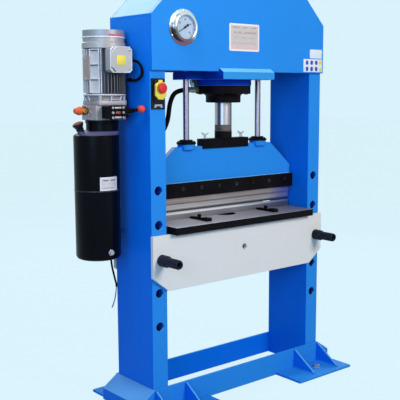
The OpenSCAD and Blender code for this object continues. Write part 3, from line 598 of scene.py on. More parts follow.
class Graph:
    """The node tree of a material or a world."""

    def __init__(self, owner: bpy.types.ID, output: str = "ShaderNodeOutputMaterial") -> None:
        """Clears the owner's tree and gives it an output.

        Args:
            owner: The material or world.
            output: Type of its output node.
        """
        owner.use_nodes = True
        self.owner, self.tree = owner, owner.node_tree
        self.tree.nodes.clear()
        self.out = self.tree.nodes.new(output).inputs["Surface"]

    def add(self, kind: str, settings: dict, inputs: dict) -> dict[str, Value]:
        """Adds one node.

        Args:
            kind: The node's type.
            settings: Its own settings, set first.
            inputs: Values or links of its sockets, by name or number.

        Returns:
            Its outputs by name.
        """
        node = self.tree.nodes.new(kind)
        for key, value in settings.items():
            setattr(node, key, value)
        for key, value in inputs.items():
            self.feed(node.inputs[key], value)
        return {s.name: Value(self, s) for s in reversed(node.outputs) if s.enabled}

    def feed(self, socket: bpy.types.NodeSocket, value: object) -> None:
        """Links a Value to a socket, or sets a plain value on it.

        Args:
            socket: The socket.
            value: The Value or plain value.
        """
        if isinstance(value, Value):
            self.tree.links.new(value.socket, socket)
        else:
            socket.default_value = value

    def principled(self, **values: object) -> Value:
        """Adds the surface's shader.

        Args:
            values: What feeds its sockets; an underscore in a name stands for a space.

        Returns:
            The shader.
        """
        inputs = {key.replace("_", " "): value for key, value in values.items()}
        made = self.add("ShaderNodeBsdfPrincipled", {}, inputs)["BSDF"]
        self.feed(self.out, made)
        return made

    def coat(self, colour: Value, rough: Value, height: Value, depth: float,
             metal: Value | float = 0.0, specular: float = 0.5) -> Value:
        """Adds the surface's shader with a bump.

        Args:
            colour: Base colour.
            rough: Roughness.
            height: Height map of the bump.
            depth: Its full height in metres.
            metal: How metallic it is.
            specular: Strength of its plain gloss.

        Returns:
            The shader.
        """
        normal = self.add("ShaderNodeBump", {}, {"Height": height, "Distance": depth,
                                                 "Strength": 1.0})["Normal"]
        return self.principled(Base_Color=colour, Roughness=rough, Normal=normal,
                               Metallic=metal, Specular_IOR_Level=specular)

    def parts(self) -> tuple[Value, Value, Value]:
        """X, Y and Z of the Object coordinates."""
        at = self.add("ShaderNodeTexCoord", {}, {})["Object"]
        return tuple(self.add("ShaderNodeSeparateXYZ", {}, {"Vector": at})[k] for k in "XYZ")

    def noise(self, scale: float, detail: float = 3.0, stretch: tuple = (1.0, 1.0, 1.0),
              rough: float = 0.5) -> Value:
        """Noise from 0 to 1 on the Object coordinates.

        Args:
            scale: Cells to a metre.
            detail: Octaves.
            stretch: Scale along each axis.
            rough: Share of the finer octaves.

        Returns:
            The noise.
        """
        at = self.add("ShaderNodeTexCoord", {}, {})["Object"]
        if stretch != (1.0, 1.0, 1.0):
            at = self.add("ShaderNodeMapping", {}, {"Vector": at, "Scale": stretch})["Vector"]
        return self.add("ShaderNodeTexNoise", {}, {
            "Vector": at, "Scale": scale, "Detail": detail, "Roughness": rough})["Fac"]

    def mark(self, name: str) -> Value:
        """A number kept on the faces, 0 where a mesh doesn't have it."""
        return self.add("ShaderNodeAttribute", {"attribute_name": name}, {})["Fac"]

    def mix(self, a: object, b: object, share: object) -> Value:
        """Colour a turning into colour b by share."""
        return self.add("ShaderNodeMix", {"data_type": "RGBA"}, {0: share, 6: a, 7: b})["Result"]

    def mottle(self, colour: tuple, low: float, high: float, share: Value) -> Value:
        """A colour made darker or brighter, from low to high times, by share."""
        return self.mix(shade(colour, low), shade(colour, high), share)

    def shown_ray(self) -> Value:
        """1 for camera, glossy and transmission rays, which see the paper itself."""
        path = self.add("ShaderNodeLightPath", {}, {})
        return (path["Is Camera Ray"] + path["Is Glossy Ray"] + path["Is Transmission Ray"]).clamp()

    def blend(self, share: Value, first: Value, other: Value) -> None:
        """Shows a shader that turns into another one by share."""
        self.feed(self.out, self.add("ShaderNodeMixShader", {}, {0: share, 1: first, 2: other})
                  ["Shader"])


def srgb(r: float, g: float, b: float) -> tuple:
    """A display colour, 0 to 255, as linear light with full alpha."""
    v = np.array([r, g, b]) / 255.0
    return (*np.where(v <= 0.04045, v / 12.92, ((v + 0.055) / 1.055) ** 2.4).tolist(), 1.0)


def shade(colour: tuple, by: float) -> tuple:
    """A linear colour made brighter or darker."""
    return (colour[0] * by, colour[1] * by, colour[2] * by, 1.0)


# ---- finishes ----


@dataclass(frozen=True)
class Finish:
    """A procedural surface: each kind lays its own pattern on a node tree."""

    def build(self, name: str) -> bpy.types.Material:
        """Makes a material with this surface.

        Args:
            name: Its name.

        Returns:
            The material.
        """
        g = Graph(bpy.data.materials.new(name))
        self.lay(g)
        return g.owner

    def lay(self, g: Graph) -> None:
        """Lays the pattern."""
        raise NotImplementedError


@dataclass(frozen=True)
class Enamel(Finish):
    """Sprayed paint with orange peel and faint unevenness.

    Faces marked for shade get a deeper coat as painted shade, and faces that lean back and look up
    get a paler one as a painted highlight.
    """

    colour: tuple
    roughness: float = 0.36
    specular: float = 0.05
    uneven: float = 0.07
    # Colour of the painted shade on the marked faces.
    shade_tone: tuple | None = None
    # Colour of the painted highlight on faces that lean back and look up.
    painted_highlight: tuple | None = None
    crown: tuple = (1.5, 1.8)

    def lay(self, g: Graph) -> None:
        """Clouded paint; the deeper coat of the painted shade fades towards the crown's height.

        Args:
            g: The nodes.
        """
        cloud, low, high = g.noise(2.6), 1 - self.uneven, 1 + self.uneven
        tone = cloud * 0.7 + g.noise(55.0, 4.0) * 0.3
        face = g.mottle(self.colour, low, high, tone)
        # Painted shade: a deeper coat on the faces marked for it.
        if self.shade_tone:
            fade = 1.0 - 0.45 * g.parts()[2].ramp(*self.crown)
            face = g.mix(face, g.mottle(self.shade_tone, low, high, tone), g.mark("flank") * fade)
        # Painted highlight: paler paint on faces that lean back and look up.
        if self.painted_highlight:
            face = g.mix(face, self.painted_highlight, (g.mark("shelf") * (0.75 + 0.4 * cloud)).clamp())
        g.coat(face, self.roughness - 0.06 + 0.12 * g.noise(14.0, 4.0), g.noise(330.0, 2.0),
               0.00004, specular=self.specular)


@dataclass(frozen=True)
class Brushed(Finish):
    """Machined metal with fine tool lines along one direction."""

    light: tuple
    dark: tuple
    stretch: tuple
    roughness: float
    metal: float

    def lay(self, g: Graph) -> None:
        """Tool lines over a faint cloud.

        Args:
            g: The nodes.
        """
        lines, cloud = g.noise(90.0, 4.0, self.stretch, 0.65), g.noise(6.0, 4.0)
        tone = (lines * 0.55 + cloud * 0.75 - 0.15).clamp()
        g.coat(g.mix(self.dark, self.light, tone),
               self.roughness - 0.10 + 0.18 * lines + 0.05 * cloud, lines, 0.00003, self.metal)


@dataclass(frozen=True)
class Banded(Finish):
    """Tool steel ground in long horizontal bands, browner above a height and lighter below."""

    upper: tuple
    lower: tuple
    turn_z: float
    # Blue tint at the end: a painted reflection of the frame.
    end: tuple
    band: float = 0.004
    # Heights of the painted shade's dark band along the foot.
    foot: tuple = (0.886, 0.893)

    def lay(self, g: Graph) -> None:
        """Two tones with dark lines and light clouds, a painted shade at the foot, a painted
        reflection at the end.

        Args:
            g: The nodes.
        """
        x, _, z = g.parts()
        lines = g.noise(150.0, 3.0, (0.012, 1.0, 1.0), 0.6)
        cloud = g.noise(5.0, 3.0, (1.0, 1.0, 3.0))
        below = 1.0 - z.ramp(self.turn_z - self.band, self.turn_z + self.band)
        face = g.mix(self.upper, self.lower, below)
        # The foot's dark band is painted shade, and the end's blue tint a painted reflection of the
        # frame.
        for colour, share in (
                (shade(self.lower, 0.5), x.ramp(-0.2, 0.4) * 0.6),
                (shade(self.upper, 0.3), (lines * 2.4 - 1.0).clamp() * 0.7),
                (shade(self.lower, 1.3), (cloud * 1.8 - 0.85).clamp() * 0.5),
                (shade(self.upper, 0.12), (1.0 - z.ramp(*self.foot)) * 0.8),
                (self.end, x.ramp(0.29, 0.44) * 0.55)):
            face = g.mix(face, colour, share)
        g.coat(face, 0.3 + 0.2 * lines, lines, 0.00005, 0.55, 0.4)


@dataclass(frozen=True)
class HighlightedEdge(Finish):
    """Ground steel: a painted highlight on its upper edge, duller below, a dark painted reflection
    at one end.
    """

    edge: tuple
    face: tuple
    far: tuple
    edge_z: float

    def lay(self, g: Graph) -> None:
        """Long lines, the painted highlight on the edge and the dark painted reflection at one end.

        Args:
            g: The nodes.
        """
        x, _, z = g.parts()
        lines, cloud = g.noise(120.0, 3.0, (0.02, 1.0, 1.0), 0.6), g.noise(7.0)
        # Painted highlight along the upper edge.
        top = z.ramp(self.edge_z - 0.003, self.edge_z)
        base = g.mix(g.mottle(self.face, 1.0, 0.6, (lines * cloud * 2.4).clamp()),
                     self.edge, top * (0.7 + 0.3 * cloud))
        # Dark blue painted reflection of the frame towards +X.
        g.coat(g.mix(base, self.far, x.ramp(0.05, 0.40) * 0.8), 0.45 + 0.15 * lines, lines,
               0.00004, 0.3, 0.2)


@dataclass(frozen=True)
class Greased(Finish):
    """Black scale below, and above a height the mottled brown of old grease."""

    below: tuple
    film: tuple
    dry: tuple
    line_z: float

    def lay(self, g: Graph) -> None:
        """Scale and film, parted along a wavy line.

        Args:
            g: The nodes.
        """
        cloud, fine = g.noise(24.0, 4.0, (1.0, 1.0, 2.2)), g.noise(130.0)
        wavy = g.parts()[2] + (cloud - 0.5) * 0.02
        above = wavy.ramp(self.line_z - 0.003, self.line_z + 0.003)
        film = g.mix(self.film, self.dry, (cloud * 2.4 - 0.8).clamp())
        g.coat(g.mix(g.mottle(self.below, 1.0, 2.0, fine), film, above),
               0.52 - 0.12 * above + 0.1 * fine, fine, 0.00005, 0.2 * above, 0.05)


@dataclass(frozen=True)
class GroundTop(Finish):
    """A plate ground bright on its top, with black mill scale on its edges and a painted highlight
    on its rim.
    """

    top: tuple
    far: tuple
    scale: tuple
    top_z: float
    rim: float = 0.0014

    def lay(self, g: Graph) -> None:
        """Ground steel above the rim's height, scale below it; the band down to that height is a
        painted highlight.

        Args:
            g: The nodes.
        """
        x, _, z = g.parts()
        # The ground colour reaches rim down the edge's bevel: a painted highlight.
        upper = z > self.top_z - self.rim
        lines, cloud = g.noise(60.0, 4.0, (0.05, 1.0, 1.0), 0.6), g.noise(3.5, 4.0)
        ground = g.mix(self.top, self.far, x.ramp(-0.2, 0.5))
        ground = g.mix(ground, shade(self.far, 0.8), (lines * cloud * 1.6 - 0.3).clamp() * 0.45)
        g.coat(g.mix(g.mottle(self.scale, 1.0, 1.8, g.noise(40.0, 4.0)), ground, upper),
               0.5 - 0.08 * upper + 0.1 * lines, lines, 0.00003, upper * 0.45, 0.06)


@dataclass(frozen=True)
class Cast(Finish):
    """Grained cast metal under a thin lacquer, paler where it is rubbed, dirty in places."""

    colour: tuple
    worn: tuple
    roughness: float
    metal: float
    wear: float = 0.25
    specular: float = 0.3

    def lay(self, g: Graph) -> None:
        """Clouds, with rubbed spots where cloud and speck are both high.

        Args:
            g: The nodes.
        """
        cloud, speck = g.noise(9.0, 5.0), g.noise(160.0, 4.0)
        rub = (cloud * speck * 3.2 - 0.62).clamp() * self.wear
        g.coat(g.mix(g.mottle(self.colour, 0.8, 1.15, cloud), self.worn, rub),
               self.roughness - 0.07 + 0.14 * speck, g.noise(900.0, 2.0), 0.0001, self.metal,
               self.specular)


@dataclass(frozen=True)
class RodChrome(Finish):
    """Hard chrome on upright rods, with painted reflections whose edges waver in long streaks.

    One side of each rod is painted darker and bluer, and the other brown: painted reflections.
    """

    light: tuple
    blue_reflection: tuple
    brown_reflection: tuple
    centre: float
    radius: float
    band: float = 0.85
    width: float = 0.7
    way: tuple = (0.758, -0.652)

    def lay(self, g: Graph) -> None:
        """Painted reflections placed by how far a point lies across its rod, along the way given.

        Args:
            g: The nodes.
        """
        x, y, _ = g.parts()
        side = (x > 0.0) * 2.0 - 1.0
        across = ((x - side * self.centre) * self.way[0] + y * self.way[1]) * (1 / self.radius)
        streak, fine = (g.noise(scale, detail, (1.0, 1.0, 0.02), 0.6)
                        for scale, detail in ((55.0, 3.0), (240.0, 2.0)))
        wavy = across + (streak - 0.5) * 0.3
        # Painted reflections: a dark blue band on one side, brown towards the other.
        blue_reflection = (1.0 - abs(wavy + self.band) * (1 / self.width)).clamp()
        face = g.mix(g.mix(self.light, self.blue_reflection, blue_reflection), self.brown_reflection, wavy.ramp(0.15, 0.95))
        g.coat(g.mix(face, shade(self.light, 0.8), fine * 0.3), 0.3 + 0.1 * fine, fine,
               0.000012, 1.0)


@dataclass(frozen=True)
class RoundChrome(Finish):
    """Polished chrome on a turned case in painted reflections: bright on top, dark and brownish
    lower down.
    """

    light: tuple
    dark: tuple
    low_reflection: tuple
    centre: tuple
    reach: float

    def lay(self, g: Graph) -> None:
        """Painted shadow low on one side, and a brownish painted reflection at the foot.

        Args:
            g: The nodes.
        """
        x, _, z = g.parts()
        u, v = ((at - mid) * (1 / self.reach) for at, mid in zip((x, z), self.centre))
        cloud, ring = g.noise(30.0, 4.0) - 0.5, g.noise(300.0, 2.0)
        # Painted shadow low on one side; lower still a brownish painted reflection.
        low = (cloud * 0.5 - v * 0.9 - u * 0.5).ramp(0.08, 0.55)
        foot = (cloud * 0.3 - v).ramp(0.45, 0.85)
        face = g.mix(g.mix(self.light, self.dark, low * 0.8), self.low_reflection, foot * 0.9)
        g.coat(face, 0.12 + 0.1 * ring, ring, 0.00001, 1.0)


@dataclass(frozen=True)
class Finned(Finish):
    """Lacquered casting round an upright axis: pale on its outer faces, with painted shade between
    fins.
    """

    outer: tuple
    shade_tone: tuple
    centre: tuple
    near: float
    far: float
    pads_r: float = 0.0885
    gap: tuple = (-0.530, -0.848)
    gap_cos: float = 0.9962
    cell: tuple = (1.424, 0.061667)
    cell_open: float = 0.915

    def lay(self, g: Graph) -> None:
        """Painted shade by depth, with pale pads on one side that a gap and cell walls of painted
        shade divide.

        Args:
            g: The nodes.
        """
        x, y, z = g.parts()
        cx, cy = self.centre
        dx, dy = x - cx, y - cy
        r = (dx * dx + dy * dy).power(0.5)
        # Painted shade: a dark line in the gap beside the pads.
        gap = (dx * self.gap[0] + dy * self.gap[1]) / r > self.gap_cos
        # Painted shade: dark stripes at the top of each pad cell.
        cell = ((z - self.cell[0]) * (1 / self.cell[1])).fract() > self.cell_open
        # Share of the outer colour: low between the fins, where the painted shade lies.
        out = (r.ramp(self.near, self.far) * 1.1 + (g.noise(12.0, 4.0) - 0.5) * 0.4).clamp()
        pad = (1.0 - x.ramp(cx - 0.052, cx - 0.046)) * (y < 0.03)
        shade_tone = g.mix(self.shade_tone, shade(self.outer, 0.85), pad * 0.85)
        # Painted shade: the outer faces darken towards +X.
        outer = g.mottle(self.outer, 1.0, 0.2, x.ramp(cx - 0.058, cx - 0.034))
        face = g.mix(shade_tone, outer, out)
        face = g.mix(face, self.shade_tone, (gap + cell * pad * (r < self.pads_r)).clamp() * 0.8)
        g.coat(face, 0.45 + 0.14 * g.noise(170.0), g.noise(900.0, 2.0), 0.0001, 0.2, 0.3)


@dataclass(frozen=True)
class ShoulderSheen(Finish):
    """Dark gloss enamel with a painted reflection of the sky between two heights, on its shoulder.
    """

    colour: tuple
    painted_highlight: tuple
    low: float
    high: float

    def lay(self, g: Graph) -> None:
        """Clouded enamel, duller where the painted reflection lies.

        Args:
            g: The nodes.
        """
        z, cloud = g.parts()[2], g.noise(8.0, 4.0)
        # Painted reflection: a pale band round the shoulder between the two heights.
        sheen = z.ramp(self.low, self.low + 0.003) * (1.0 - z.ramp(self.high - 0.004, self.high))
        sheen = sheen * (0.45 + 0.5 * cloud)
        g.coat(g.mix(g.mottle(self.colour, 0.8, 1.3, cloud), self.painted_highlight, sheen),
               0.26 + 0.2 * sheen + 0.06 * g.noise(60.0), g.noise(300.0, 2.0), 0.00003,
               specular=0.06)


@dataclass(frozen=True)
class Moulded(Finish):
    """Moulded plastic or rubber with a fine spark-eroded texture."""

    colour: tuple
    roughness: float = 0.4
    specular: float = 0.3
    fade: float = 0.08
    grain: float = 0.00003

    def lay(self, g: Graph) -> None:
        """An even colour, hardly faded, with its grain.

        Args:
            g: The nodes.
        """
        g.coat(g.mottle(self.colour, 1 - self.fade, 1 + self.fade, g.noise(20.0, 4.0)),
               self.roughness - 0.05 + 0.1 * g.noise(70.0), g.noise(1400.0, 1.0), self.grain,
               specular=self.specular)


@dataclass(frozen=True)
class Plate(Finish):
    """A thin printed plate: a light rim, and rows of plain grey fields inside it.

    The plate lies square to Y, or round an upright axis. Rows come from the height, and the
    fields' ends from noise along X, so nothing on it reads as a letter.
    """

    ground: tuple
    rim: tuple
    mark: tuple
    centre: tuple
    half: tuple
    edge: float
    rows: float
    strength: float
    tint: tuple | None = None
    tint_top: float = 0.0

    def lay(self, g: Graph) -> None:
        """The rim, the ground with its tint, and the broken rows.

        Args:
            g: The nodes.
        """
        x, _, z = g.parts()
        u, v = abs(x - self.centre[0]), abs(z - self.centre[1])
        wide, high = self.half
        inner = (u < wide - self.edge) * (v < high - self.edge)
        # The whole number keeps the height above 0, and the quarter places the first row.
        row = ((z - self.centre[1]) * self.rows + 100.25).fract() < 0.34
        bar = row * (u < wide - 2.4 * self.edge) * (v < high - 1.8 * self.edge)
        broken = g.noise(34.0, 1.0, (1.0, 0.0, 2.0)) > 0.46
        smudge = g.noise(26.0)
        face = g.mottle(self.ground, 1.0, 0.86, smudge)
        if self.tint:
            low = 1.0 - z.ramp(self.tint_top - 0.012, self.tint_top)
            face = g.mix(face, self.tint, low * 0.7)
        upper = z.ramp(self.centre[1], self.centre[1] + 0.01)
        face = g.mix(face, self.mark, bar * broken * (self.strength * (0.35 + 0.65 * upper)))
        g.coat(g.mix(self.rim, face, inner), 0.42 + 0.12 * smudge, inner, 0.00008, 0.15, 0.3)


@dataclass(frozen=True)
class Glass(Finish):
    """A clear pane that hardly shows but for its gloss."""

    def lay(self, g: Graph) -> None:
        """A nearly clear surface with faint smears in its gloss.

        Args:
            g: The nodes.
        """
        g.principled(Base_Color=(0.95, 0.98, 1.0, 1.0), Roughness=0.02 + 0.05 * g.noise(30.0, 4.0),
                     Alpha=0.03, Specular_IOR_Level=0.1, IOR=1.45)


RECIPES = {
    "blue_enamel": Enamel(srgb(43, 138, 218), shade_tone=srgb(10, 118, 228), painted_highlight=srgb(98, 166, 224)),
    # A paler blue for the bead on the beam's lower corner: a painted highlight.
    "rubbed_blue_enamel": Enamel(srgb(120, 190, 236)),
    "shaded_blue_enamel": Enamel(srgb(54, 147, 213), specular=0.03, shade_tone=srgb(8, 56, 156),
                                 painted_highlight=srgb(122, 206, 246)),
    "grey_enamel": Enamel(srgb(232, 225, 215), 0.45, 0.10, 0.03),
    "tank_enamel": ShoulderSheen(srgb(7, 7, 12), srgb(104, 102, 140), 1.247, 1.266),
    "black_oxide": Cast(srgb(11, 7, 9), srgb(52, 46, 52), 0.5, 0.0, specular=0.04),
    # Lighter than black_oxide, for bolt heads: painted glints, with rubbed spots of wear.
    "worn_oxide": Cast(srgb(34, 31, 36), srgb(120, 116, 120), 0.4, 0.4, 0.5, 0.1),
    "seam_enamel": Cast(srgb(40, 40, 48), srgb(92, 92, 104), 0.4, 0.0, 0.6, 0.1),
    "pin_black": Cast(srgb(24, 28, 38), srgb(70, 76, 92), 0.46, 0.0, specular=0.1),
    "port_grey": Cast(srgb(92, 82, 98), srgb(150, 140, 150), 0.45, 0.2),
    "cast_alloy": Cast(srgb(164, 158, 154), srgb(214, 210, 206), 0.46, 0.3),
    "cowl_alloy": Cast(srgb(146, 146, 150), srgb(206, 204, 202), 0.44, 0.3),
    "lid_alloy": Cast(srgb(178, 174, 168), srgb(226, 224, 222), 0.42, 0.12, 0.15),
    # A pale copy of the alloy for rims, ribs and webs: a painted highlight.
    "lid_edge": Cast(srgb(226, 224, 224), srgb(240, 240, 240), 0.4, 0.1, 0.1),
    "dull_alloy": Cast(srgb(170, 160, 156), srgb(222, 216, 212), 0.5, 0.25, 0.5),
    "finned_alloy": Finned(srgb(216, 210, 206), srgb(66, 62, 70), (-0.639, 0.050), 0.076, 0.0915),
    "bright_steel": Brushed(srgb(196, 192, 194), srgb(128, 118, 118), (0.05, 1, 1), 0.36, 0.75),
    "screw_steel": Brushed(srgb(205, 206, 210), srgb(140, 138, 146), (1, 1, 1), 0.3, 0.85),
    "brass_nut": Brushed(srgb(214, 172, 96), srgb(150, 104, 50), (1, 1, 1), 0.3, 1.0),
    "nut_brass": Brushed(srgb(196, 198, 140), srgb(130, 130, 84), (1, 1, 1), 0.4, 0.5),
    "copper_strip": Brushed(srgb(168, 70, 52), srgb(96, 34, 34), (0.1, 1, 1), 0.4, 0.3),
    "motor_plate_tin": Brushed(srgb(186, 160, 150), srgb(140, 116, 112), (1, 1, 0.1), 0.4, 0.4),
    "die_plate_steel": GroundTop(srgb(214, 208, 206), srgb(118, 112, 120), srgb(8, 5, 8), 0.841),
    "vee_steel": HighlightedEdge(srgb(236, 232, 230), srgb(136, 132, 134), srgb(30, 44, 92), 0.868),
    "punch_steel": Banded(srgb(160, 140, 136), srgb(184, 176, 174), 0.912, srgb(34, 84, 190)),
    "greased_head": Greased(srgb(11, 7, 9), srgb(124, 112, 106), srgb(52, 42, 42),
                            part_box("ram_head")[1][2] - 0.030),
    "ram_chrome": RodChrome(srgb(178, 172, 178), srgb(40, 38, 72), srgb(150, 126, 122), 0.0,
                            0.041, 0.52, 0.34),
    "guide_chrome": RodChrome(srgb(160, 150, 164), srgb(8, 7, 36), srgb(88, 70, 70), 0.2285,
                              0.0165),
    "bezel_chrome": RoundChrome(srgb(232, 228, 226), srgb(46, 38, 44), srgb(142, 98, 118),
                                (-0.365, 1.709), 0.078),
    "black_plastic": Moulded(srgb(18, 17, 24), specular=0.15),
    "orange_plastic": Moulded(srgb(221, 96, 44)),
    "yellow_plastic": Moulded(srgb(240, 212, 70)),
    "red_plastic": Moulded(srgb(214, 46, 36), specular=0.2),
    "knob_red": Moulded(srgb(228, 64, 60), 0.25),
    "cap_red": Moulded(srgb(150, 20, 44), 0.6, 0.05),
    "mark_red": Moulded(srgb(214, 92, 108), 0.5, 0.1),
    "port_white": Moulded(srgb(250, 250, 250), 0.5, 0.1),
    "sticker_white": Moulded(srgb(226, 228, 232), 0.5, 0.1, 0.03),
    "indigo_ink": Moulded(srgb(70, 74, 160), 0.5, 0.1),
    "dial_white": Moulded(srgb(184, 200, 214), 0.6, 0.1),
    "dial_ink": Moulded(srgb(10, 11, 18), 0.6, 0.05),
    "lead_grey": Moulded(srgb(168, 168, 182), specular=0.2),
    "black_rubber": Moulded(srgb(9, 8, 12), 0.6, 0.04, grain=0.00006),
    "tank_label_print": Plate(srgb(214, 204, 198), srgb(232, 224, 218), srgb(90, 84, 90),
                              (-0.679, 1.041), (0.0418, 0.029), 0.004, 62.0, 0.9),
    "nameplate_print": Plate(srgb(208, 192, 184), srgb(238, 226, 222), srgb(104, 94, 96),
                             (-0.007, 1.680), (0.093, 0.062), 0.008, 42.0, 0.4,
                             srgb(226, 184, 172), 1.648),
    "pane": Glass(),
}


class Finishes(dict):
    """The finishes in use by name, each built when it is first asked for."""

    def __missing__(self, name: str) -> bpy.types.Material:
        """Builds a finish from its recipe."""
        return self.setdefault(name, RECIPES[name].build(name))


# ---- scene ----


@dataclass
class Studio:
    """Camera, lamps, floor and backdrop."""

    location: tuple = (-2.5347, -2.9225, 1.4387)
    turn: tuple = (82.11, 0.04, -40.71)
    lens: float = 71.57
    sensor: float = 36.0
    shift: tuple = (-0.0500, 0.0015)
    paper: tuple = srgb(217, 242, 252)
    floor_half: float = 30.0
    floor_z: float = -0.0005
    lamps: tuple = (
        ("key", (0.5, -3.9, 2.7), (0.0, 0.0, 1.15), 1.6, 112.0, (1.0, 0.98, 0.95)),
        ("top", (-1.3, -0.3, 3.0), (-0.6, 0.0, 1.7), 1.2, 18.0, (1.0, 1.0, 1.0)),
        ("left", (-3.2, -2.1, 1.8), (-0.5, 0.0, 1.0), 1.8, 56.0, (0.40, 0.62, 1.0)),
        ("right", (3.6, 1.2, 2.2), (0.0, 0.0, 1.0), 1.8, 44.0, (0.80, 0.90, 1.0)),
        ("back", (0.2, 4.2, 4.6), (0.0, 0.0, 1.0), 2.2, 115.0, (1.0, 1.0, 1.0)),
    )

    def camera(self) -> None:
        """Sets the camera."""
        data = bpy.data.cameras.new("camera")
        data.lens, data.sensor_width = self.lens, self.sensor
        data.shift_x, data.shift_y = self.shift
        cam = placed("camera", data)
        cam.location = self.location
        cam.rotation_euler = [math.radians(a) for a in self.turn]
        bpy.context.scene.camera = cam

    def light(self) -> None:
        """Large soft lamps, each turned to its aim."""
        for name, place, aim, size, power, colour in self.lamps:
            data = bpy.data.lights.new(name, "AREA")
            data.shape, data.size, data.energy, data.color = "DISK", size, power, colour
            lamp = placed(name, data)
            lamp.location = place
            way = np.array(aim) - np.array(place)
            lamp.rotation_euler = (math.acos(-way[2] / np.linalg.norm(way)), 0.0,
                                   math.atan2(way[1], way[0]) - math.pi / 2)

    def floor(self) -> None:
        """A wide pale floor that keeps the object's shadow."""
        g = Graph(bpy.data.materials.new("paper_floor"))
        tone = g.mix(srgb(122, 158, 184), srgb(128, 164, 190), g.noise(1.5, 2.0))
        glow = g.add("ShaderNodeEmission", {}, {"Color": (0.733, 0.922, 0.988, 1.0),
                                                "Strength": 1.08})["Emission"]
        g.blend(g.shown_ray() * 0.86, g.principled(Base_Color=tone, Roughness=0.9), glow)
        mesh = bpy.data.meshes.new("floor")
        s = self.floor_half
        mesh.from_pydata([(-s, -s, 0), (s, -s, 0), (s, s, 0), (-s, s, 0)], [], [(0, 1, 2, 3)])
        mesh.materials.append(g.owner)
        floor = placed("floor", mesh)
        floor.location.z = self.floor_z

    def world(self) -> None:
        """Pale paper all round for what is seen, and a soft even light for the rest."""
        bpy.context.scene.world = bpy.data.worlds.new("paper")
        g = Graph(bpy.context.scene.world, "ShaderNodeOutputWorld")
        soft, seen = (g.add("ShaderNodeBackground", {}, {"Color": colour, "Strength": power})
                      ["Background"] for colour, power in (((0.56, 0.74, 1.0, 1.0), 0.24),
                                                           (self.paper, 1.0)))
        g.blend(g.shown_ray(), soft, seen)

    def build(self) -> None:
        """Everything that isn't the press."""
        self.camera()
        self.light()
        self.floor()
        self.world()
        bpy.context.scene.view_settings.view_transform = "Standard"


# ---- sub-assemblies ----


@dataclass
class Group:
    """A sub-assembly: its sizes in millimetres, the coats of its CAD nodes, its small parts."""

    fin: Finishes
    coats: ClassVar[tuple] = ()

    def add(self, name: str, slot: Slot, finish: str, parts: list, body: str = "frame",
            stands_for: tuple = (), sharp: float = 40.0) -> bpy.types.Object:
        """Adds a piece.

        Args:
            name: Its name.
            slot: Its material slot.
            finish: Its finish's name.
            parts: The closed parts that make it up.
            body: The body that it rides on.
            stands_for: The CAD nodes that it takes the place of.
            sharp: Edges sharper than this stay sharp, in degrees.

        Returns:
            The object.
        """
        return Piece(name, slot, self.fin[finish], body, stands_for, sharp).make(parts)

    def details(self) -> None:
        """Adds the small parts; a group without any leaves this as it is."""

    def build(self) -> None:
        """Coats the CAD nodes, then adds the small parts."""
        for coat in self.coats:
            coat.lay(self.fin[coat.finish])
        self.details()


@dataclass
class SupplyCord(Group):
    """The cut-off supply cord: a round black sheath that ends in three thin bare leads."""

    radius: float = 4.5
    sheath_low: float = 542.0
    lead: float = 1.25
    core: float = 1.0
    sleeve: int = 30
    route: tuple = ((-557, 110, 800), (-566, 110, 800), (-580, 110, 777), (-585, 110, 735),
                    (-585, 110, 690), (-580, 110, 640), (-567, 110, 585), (-558, 110, 545),
                    (-565, 110, 495), (-583, 110, 445))

    def relief(self) -> None:
        """Tapered rubber sleeve over the first part of the cord, with four grooves."""
        path = resample(smooth_line(self.route, 10), 1.0)[:self.sleeve]
        s = np.linspace(0, 1, len(path))
        groove = 0.5 * (np.sin(s * 2 * np.pi * 4.5) > 0.55)
        self.add("cord_relief", Slot.RUBBER, "black_rubber",
                 [sweep(path, 7.2 - 2.6 * s - groove, 20)])

    def leads(self, tail: np.ndarray) -> bpy.types.Object:
        """Three bare grey leads that spread a little as they hang from the sheath's end.

        Args:
            tail: The path below the sheath.

        Returns:
            The leads.
        """
        s = np.linspace(0, 1, len(tail))[:, None]
        lines = []
        for turn in (0.4, 2.5, 4.6):
            angle = turn + 2.2 * s
            aside = np.concatenate([np.cos(angle), 0.4 * np.sin(angle), 0 * s], 1)
            lines.append(sweep(tail + aside * (1.7 + 1.1 * s), self.lead, 8))
        return self.add("cord_leads", Slot.STEEL, "lead_grey", lines)

    def details(self) -> None:
        """The sheath with its inner cord on the whole route, the leads and the relief."""
        path = resample(smooth_line(self.route, 10), 3.0)
        count = int((path[:, 2] >= self.sheath_low).sum())
        cord = self.add("supply_cord_tube", Slot.RUBBER, "black_rubber", [
            sweep(path[:count + 1], self.radius, 16), sweep(path[count:], self.core, 6)],
            stands_for=("supply_cord",))
        (path[0] * MM).tolist()
        self.leads(path[count - 1:])
        self.relief()


